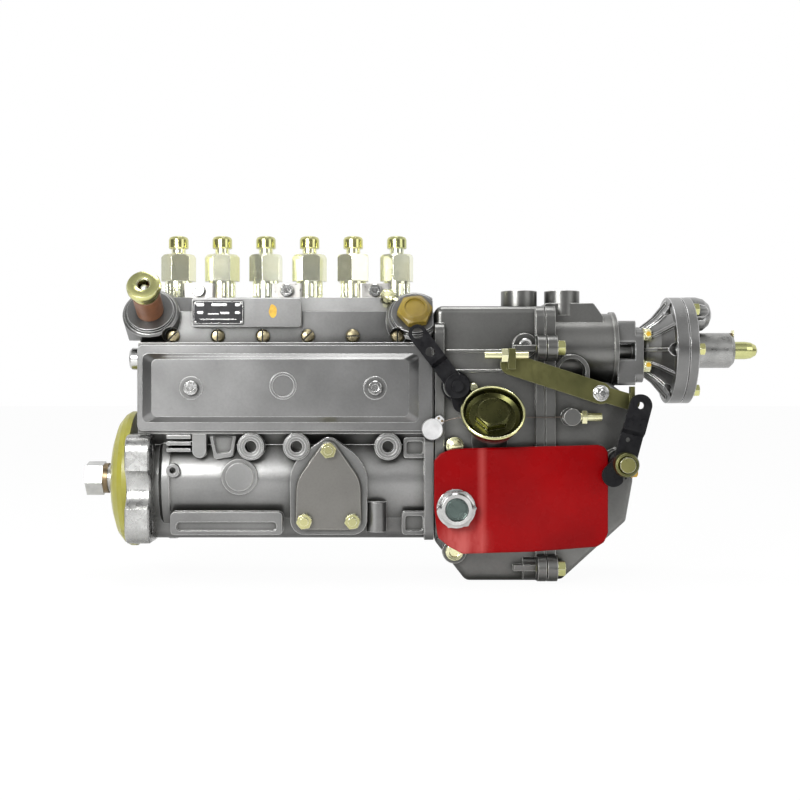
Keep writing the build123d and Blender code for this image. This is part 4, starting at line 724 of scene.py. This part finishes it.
def add_tag():
    """Red plastic tag: a thin sheet held by the timing plug, creased and slightly curled."""
    top = [(213.8, 15.7), (218, 20.5), (224.9, 23.4), (236.2, 24.3)]
    top += [(327.3, 26.6), (331.6, 25.2), (334, 21.2)]
    low = [(213.8, -16.1), (216.2, -37.3), (224, -43.6), (233.3, -48.6)]
    low += [(280.8, -47.3), (326.2, -43.7), (331.4, -40.4), (334, -34)]
    columns, rows = 72, 40
    work = bmesh.new()
    grid = []
    for column in range(columns + 1):
        # The columns are closer together at both ends, where the outline is round.
        share = column / columns
        share = share - 0.06 * math.sin(2 * math.pi * share)
        x = top[0][0] + share * (top[-1][0] - top[0][0])
        high_z = height_at(top, x)
        low_z = height_at(low, x)
        heights = [low_z + (high_z - low_z) * row / rows for row in range(rows + 1)]
        grid.append([work.verts.new((x, tag_y(x, z), z)) for z in heights])
    for left, right in zip(grid, grid[1:]):
        for row in range(rows):
            work.faces.new((left[row], right[row], right[row + 1], left[row + 1]))
    sheet = to_mesh(work, "tag_sheet", Matrix.Scale(mm, 4))
    tag = add_piece("tag_sheet", sheet, "tag_red", "root")
    solid = tag.modifiers.new("film", "SOLIDIFY")
    solid.thickness = 0.7 * mm
    solid.offset = 0.0
    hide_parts("red_tag")


def add_filler_pieces():
    """Bright rolled rim and hexagon of the oil filler cap."""
    place = leaning((253.7, -60.0, 45.0), 35)
    rim = [(20.3, 6.9), (20.9, 6.5), (21.7, 6.6), (22.2, 7.3)]
    rim += [(21.8, 8.2), (21.0, 8.6), (20.3, 8.0), (20.3, 6.9)]
    crown = [(0, 8.55), (8.6, 8.55), (8.1, 8.8), (0, 8.85)]
    lathe("filler_rim", rim, place, *CAP, sides=64)
    prism("filler_hex", hex_points(22.0, 12), 2.45, 8.6, 1.4, place, *CAP)
    lathe("filler_crown", crown, place, "cap_olive", "root", "yellow_zinc")


def add_slot_shades():
    """Dark sheets on the floors of the barrel screws' slots: painted shade in the slots."""
    low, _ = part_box("barrel_screws")
    screw_radius = 4.9
    first_x = low[0] / mm + screw_radius
    slot = [(-4.7, -0.5), (4.7, -0.5), (4.7, 0.5), (-4.7, 0.5)]
    # Each slot gets a thin sheet of black gasket material, as painted shade in the slot.
    for index, turn in enumerate((45, 90, 90, 45, 0, 90)):
        spin = math.radians(turn)
        centre = (first_x + ELEMENT_PITCH * index, -29.4, 103)
        place = facing(centre, up=(-math.sin(spin), 0, math.cos(spin)))
        prism(f"screw_slot_{index}", slot, 0.0, 0.25, 0.1, place, "gasket", "root", "black_coat")


def add_inlet_pieces():
    """Swollen lip of the inlet's cap, and the pale core that shows in its hole."""
    place = leaning((14.0, -36.0, 121.0), 30)
    lip = [(9.3, 25.4), (11.2, 26.2), (11.9, 27.6), (11.9, 30.6), (11.0, 32.2)]
    lip += [(9.0, 32.8), (6.0, 32.7), (4.6, 32.2), (9.3, 31.0), (9.3, 25.4)]
    core = [(0, 25.2), (2.6, 25.2), (2.4, 28.6), (1.4, 29.4), (0, 29.6)]
    lathe("inlet_lip", lip, place, "cap_zinc", "root", "olive_zinc", sides=56)
    lathe("inlet_core", core, place, *LEAD, sides=28)


def add_lever_pieces():
    """Clamp collar and screw of the control lever, nut and stud of the bracket, return spring."""
    collar = [(5.4, 0), (8.2, 0), (8.6, 0.8), (8.6, 5.0), (7.8, 6.4), (6.4, 6.8), (5.4, 6.2), (5.4, 0)]
    lathe("clamp_collar", collar, facing((343.4, -70.0, 13.8)), "olive_drab", "control_lever", "olive_zinc")
    screw = facing((350.0, -56.0, 7.6), (1, 0, 0))
    hex_screw("clamp_screw", screw, 6, 4.0, 10, "paint_yellow", "control_lever", "yellow_plastic")
    nut = facing((328.6, -59.0, 62.4))
    hex_screw("bracket_nut", nut, 9, 5.5, 14, *BRIGHT)
    lathe("bracket_stud", [(2.9, 5.2), (2.9, 8.0), (2.2, 8.7), (0, 8.7)], nut, *BRIGHT, sides=24)
    coil("stop_spring", (229.7, -38.6, 67.4), 9.8, 0.7, 6, 6.4, *BLACK)


def add_seal_ear():
    """Ear of the lead seal, with dark dips as painted shade for the two holes of its wire."""
    ear = [(-3.6, 2.0), (-3.4, 9.0), (-2.0, 11.4), (2.0, 11.4), (3.4, 9.0), (3.6, 2.0)]
    hole = [(0.9, 0.0), (0.9, 0.25), (0.55, 0.3), (0, 0.16)]
    place = facing((212.9, -48.6, 37.2), up=(0.62, 0, 0.78))
    prism("seal_ear", ear, 0.0, 2.6, 0.6, place, *LEAD)
    # Dark steel dips stand for the two wire holes: painted shade.
    for index, x in enumerate((-1.5, 1.5)):
        lathe(f"seal_hole_{index}", hole, place @ Matrix.Translation((x, 8.8, 2.5)), *DARK, sides=18)


def add_name_plate():
    """Black plate with blank light fields and rivets on the housing's pad."""
    place = facing((61.9, -32.0, 119.5))
    plate = rounded_box(36.3, 17, 1.2)
    prism("name_plate", plate, 0.02, 0.7, 0.15, place, "plate_black", "root", "black_coat")
    # Fields and rims are (x, y, width, height).
    fields = ((-12.8, 5.6, 5.4, 2.2), (0.6, 5.6, 11.0, 2.0), (13.6, 5.6, 4.0, 2.2), (13.6, 0.0, 4.0, 2.0))
    fields += ((-12.8, 0.0, 4.4, 2.0), (4.6, -0.3, 6.4, 1.6), (-3.6, -1.0, 8.0, 1.0), (0.0, -4.8, 26.0, 0.7))
    for index, (x, y, width, height) in enumerate(fields):
        outline = rounded_box(width, height, min(width, height) * 0.45)
        spot = place @ Matrix.Translation((x, y, 0))
        prism(f"plate_field_{index}", outline, 0.6, 0.8, 0.04, spot, *ALLOY)
    rims = ((0, 7.7, 35, 0.35), (0, -7.7, 35, 0.35), (17.3, 0, 0.35, 15.4), (-17.3, 0, 0.35, 15.4))
    for index, (x, y, width, height) in enumerate(rims):
        spot = place @ Matrix.Translation((x, y, 0))
        prism(f"plate_rim_{index}", rounded_box(width, height, 0.15), 0.6, 0.8, 0.04, spot, *ALLOY)
    rivet = [(1.0, 0), (0.95, 0.35), (0.6, 0.6), (0, 0.7)]
    for index, (x, y) in enumerate(((-16.2, 6.6), (16.2, 6.6), (-16.2, -6.6), (16.2, -6.6))):
        lathe(f"plate_rivet_{index}", rivet, place @ Matrix.Translation((x, y, 0.6)), *BRIGHT, sides=20)


def add_near_fittings():
    """Screws, plugs and paint of the near side that the solids leave out."""
    hex_screw("flange_bolt_upper", facing((229, -44.0, 25.5)), 10, 6.5, 10, *ZINC)
    drain = [(3.4, 0.6), (3.8, 2.4), (5.6, 2.6), (6.3, 2.0), (6.3, 0), (0, 0), (0, 0.6), (3.4, 0.6)]
    lathe("drain_plug", drain, facing((228.6, -43.0, -48.6)), *ZINC)
    screw = [(0, 1.4), (2.9, 1.4), (3.0, 4.0), (4.3, 4.2), (4.9, 3.6), (4.9, 0), (0, 0)]
    lathe("boss_screw", screw, facing((278.5, -41.0, 96.0)), *BRIGHT)
    pin = [(0, 8.6), (2.2, 8.6), (3.0, 7.8), (3.0, 0), (0, 0)]
    lathe("guide_pin", pin, facing((242.0, -38.0, 66.5)), *ZINC)
    core = [(7.9, 0), (7.9, 1.2), (6.6, 1.5), (6.2, 1.0), (0, 1.2)]
    plug = facing((TIMING_PLUG_X, -64.0, TIMING_PLUG_Z))
    lathe("timing_plug_core", core, plug, "plug_green", "root", "dark_steel")
    blob("pad_paint", (100.5, -32.0, 120.5), (0, -1, 0), 6.0, 9.0, 3, *PAINT)


def add_gallery_fitting():
    """Small zinc hose fitting that leans on the housing's top beside the hexagon plug."""
    place = facing((178.5, -22.0, 134.0), (0.78, -0.32, -0.42))
    body = [(0, 13.2), (1.6, 13.2), (1.7, 9.6), (3.3, 9.6), (3.6, 9.0), (3.6, 1.0), (3.0, 0), (0, 0)]
    lathe("leak_fitting", body, place, *ZINC)
    prism("leak_fitting_hex", hex_points(9, 12), 3.0, 7.5, 0.5, place, *ZINC)


def add_compensator_pieces():
    """Bolts with paint marks, lock washer and lock tab of the compensator."""
    for index, (y, z) in enumerate(((-24.0, 104.0), (-24.0, 82.0), (8.0, 104.0), (8.0, 82.0))):
        hex_screw(f"plate_bolt_{index}", facing((364.5, y, z), (1, 0, 0)), 8, 5.5, 20, *ZINC)
        if y < 0:
            spot = (368.0, y - 4.0, z + 0.6)
            blob(f"bolt_paint_{index}", spot, (0.1, -1, 0.1), 3.4, 3.6, index + 5, *PAINT)
    place = facing((432.65, -8.0, 93.3), (1, 0, 0))
    washer = [(3.2, 0), (8.4, 0), (8.4, 0.35), (3.2, 0.35), (3.2, 0)]
    tab = [(-3.2, 5.0), (3.2, 5.0), (3.2, 13.5), (2.2, 14.7), (-2.2, 14.7), (-3.2, 13.5)]
    fold = [(-2.6, 8.0), (2.6, 8.0), (2.6, 12.6), (-2.6, 12.6)]
    lathe("lock_washer", washer, place, *ZINC)
    prism("lock_tab", tab, 0, 0.8, 0.25, place, *ZINC)
    prism("lock_tab_fold", fold, -3.0, 0.1, 0.3, place, *DARK)


def add_seal_wire():
    """Wire from the lead seal across the filler cap to the right."""
    line = [(218.0, -50.4, 41.5), (226.0, -52.0, 45.0), (240.0, -56.5, 46.2), (262.0, -58.5, 46.0)]
    line += [(278.0, -46.0, 45.6), (290.0, -44.5, 45.4), (307.0, -45.0, 45.7)]
    taut_wire("seal_wire", line, 0.35, "wire_rust", "root")


dress_nodes()
add_tag()
add_filler_pieces()
add_slot_shades()
add_inlet_pieces()
add_lever_pieces()
add_seal_ear()
add_name_plate()
add_near_fittings()
add_gallery_fitting()
add_compensator_pieces()
add_seal_wire()
add_camera()
add_world()
add_floor()
for lamp in LAMPS:
    add_lamp(*lamp)

scene.view_settings.view_transform = "Standard"
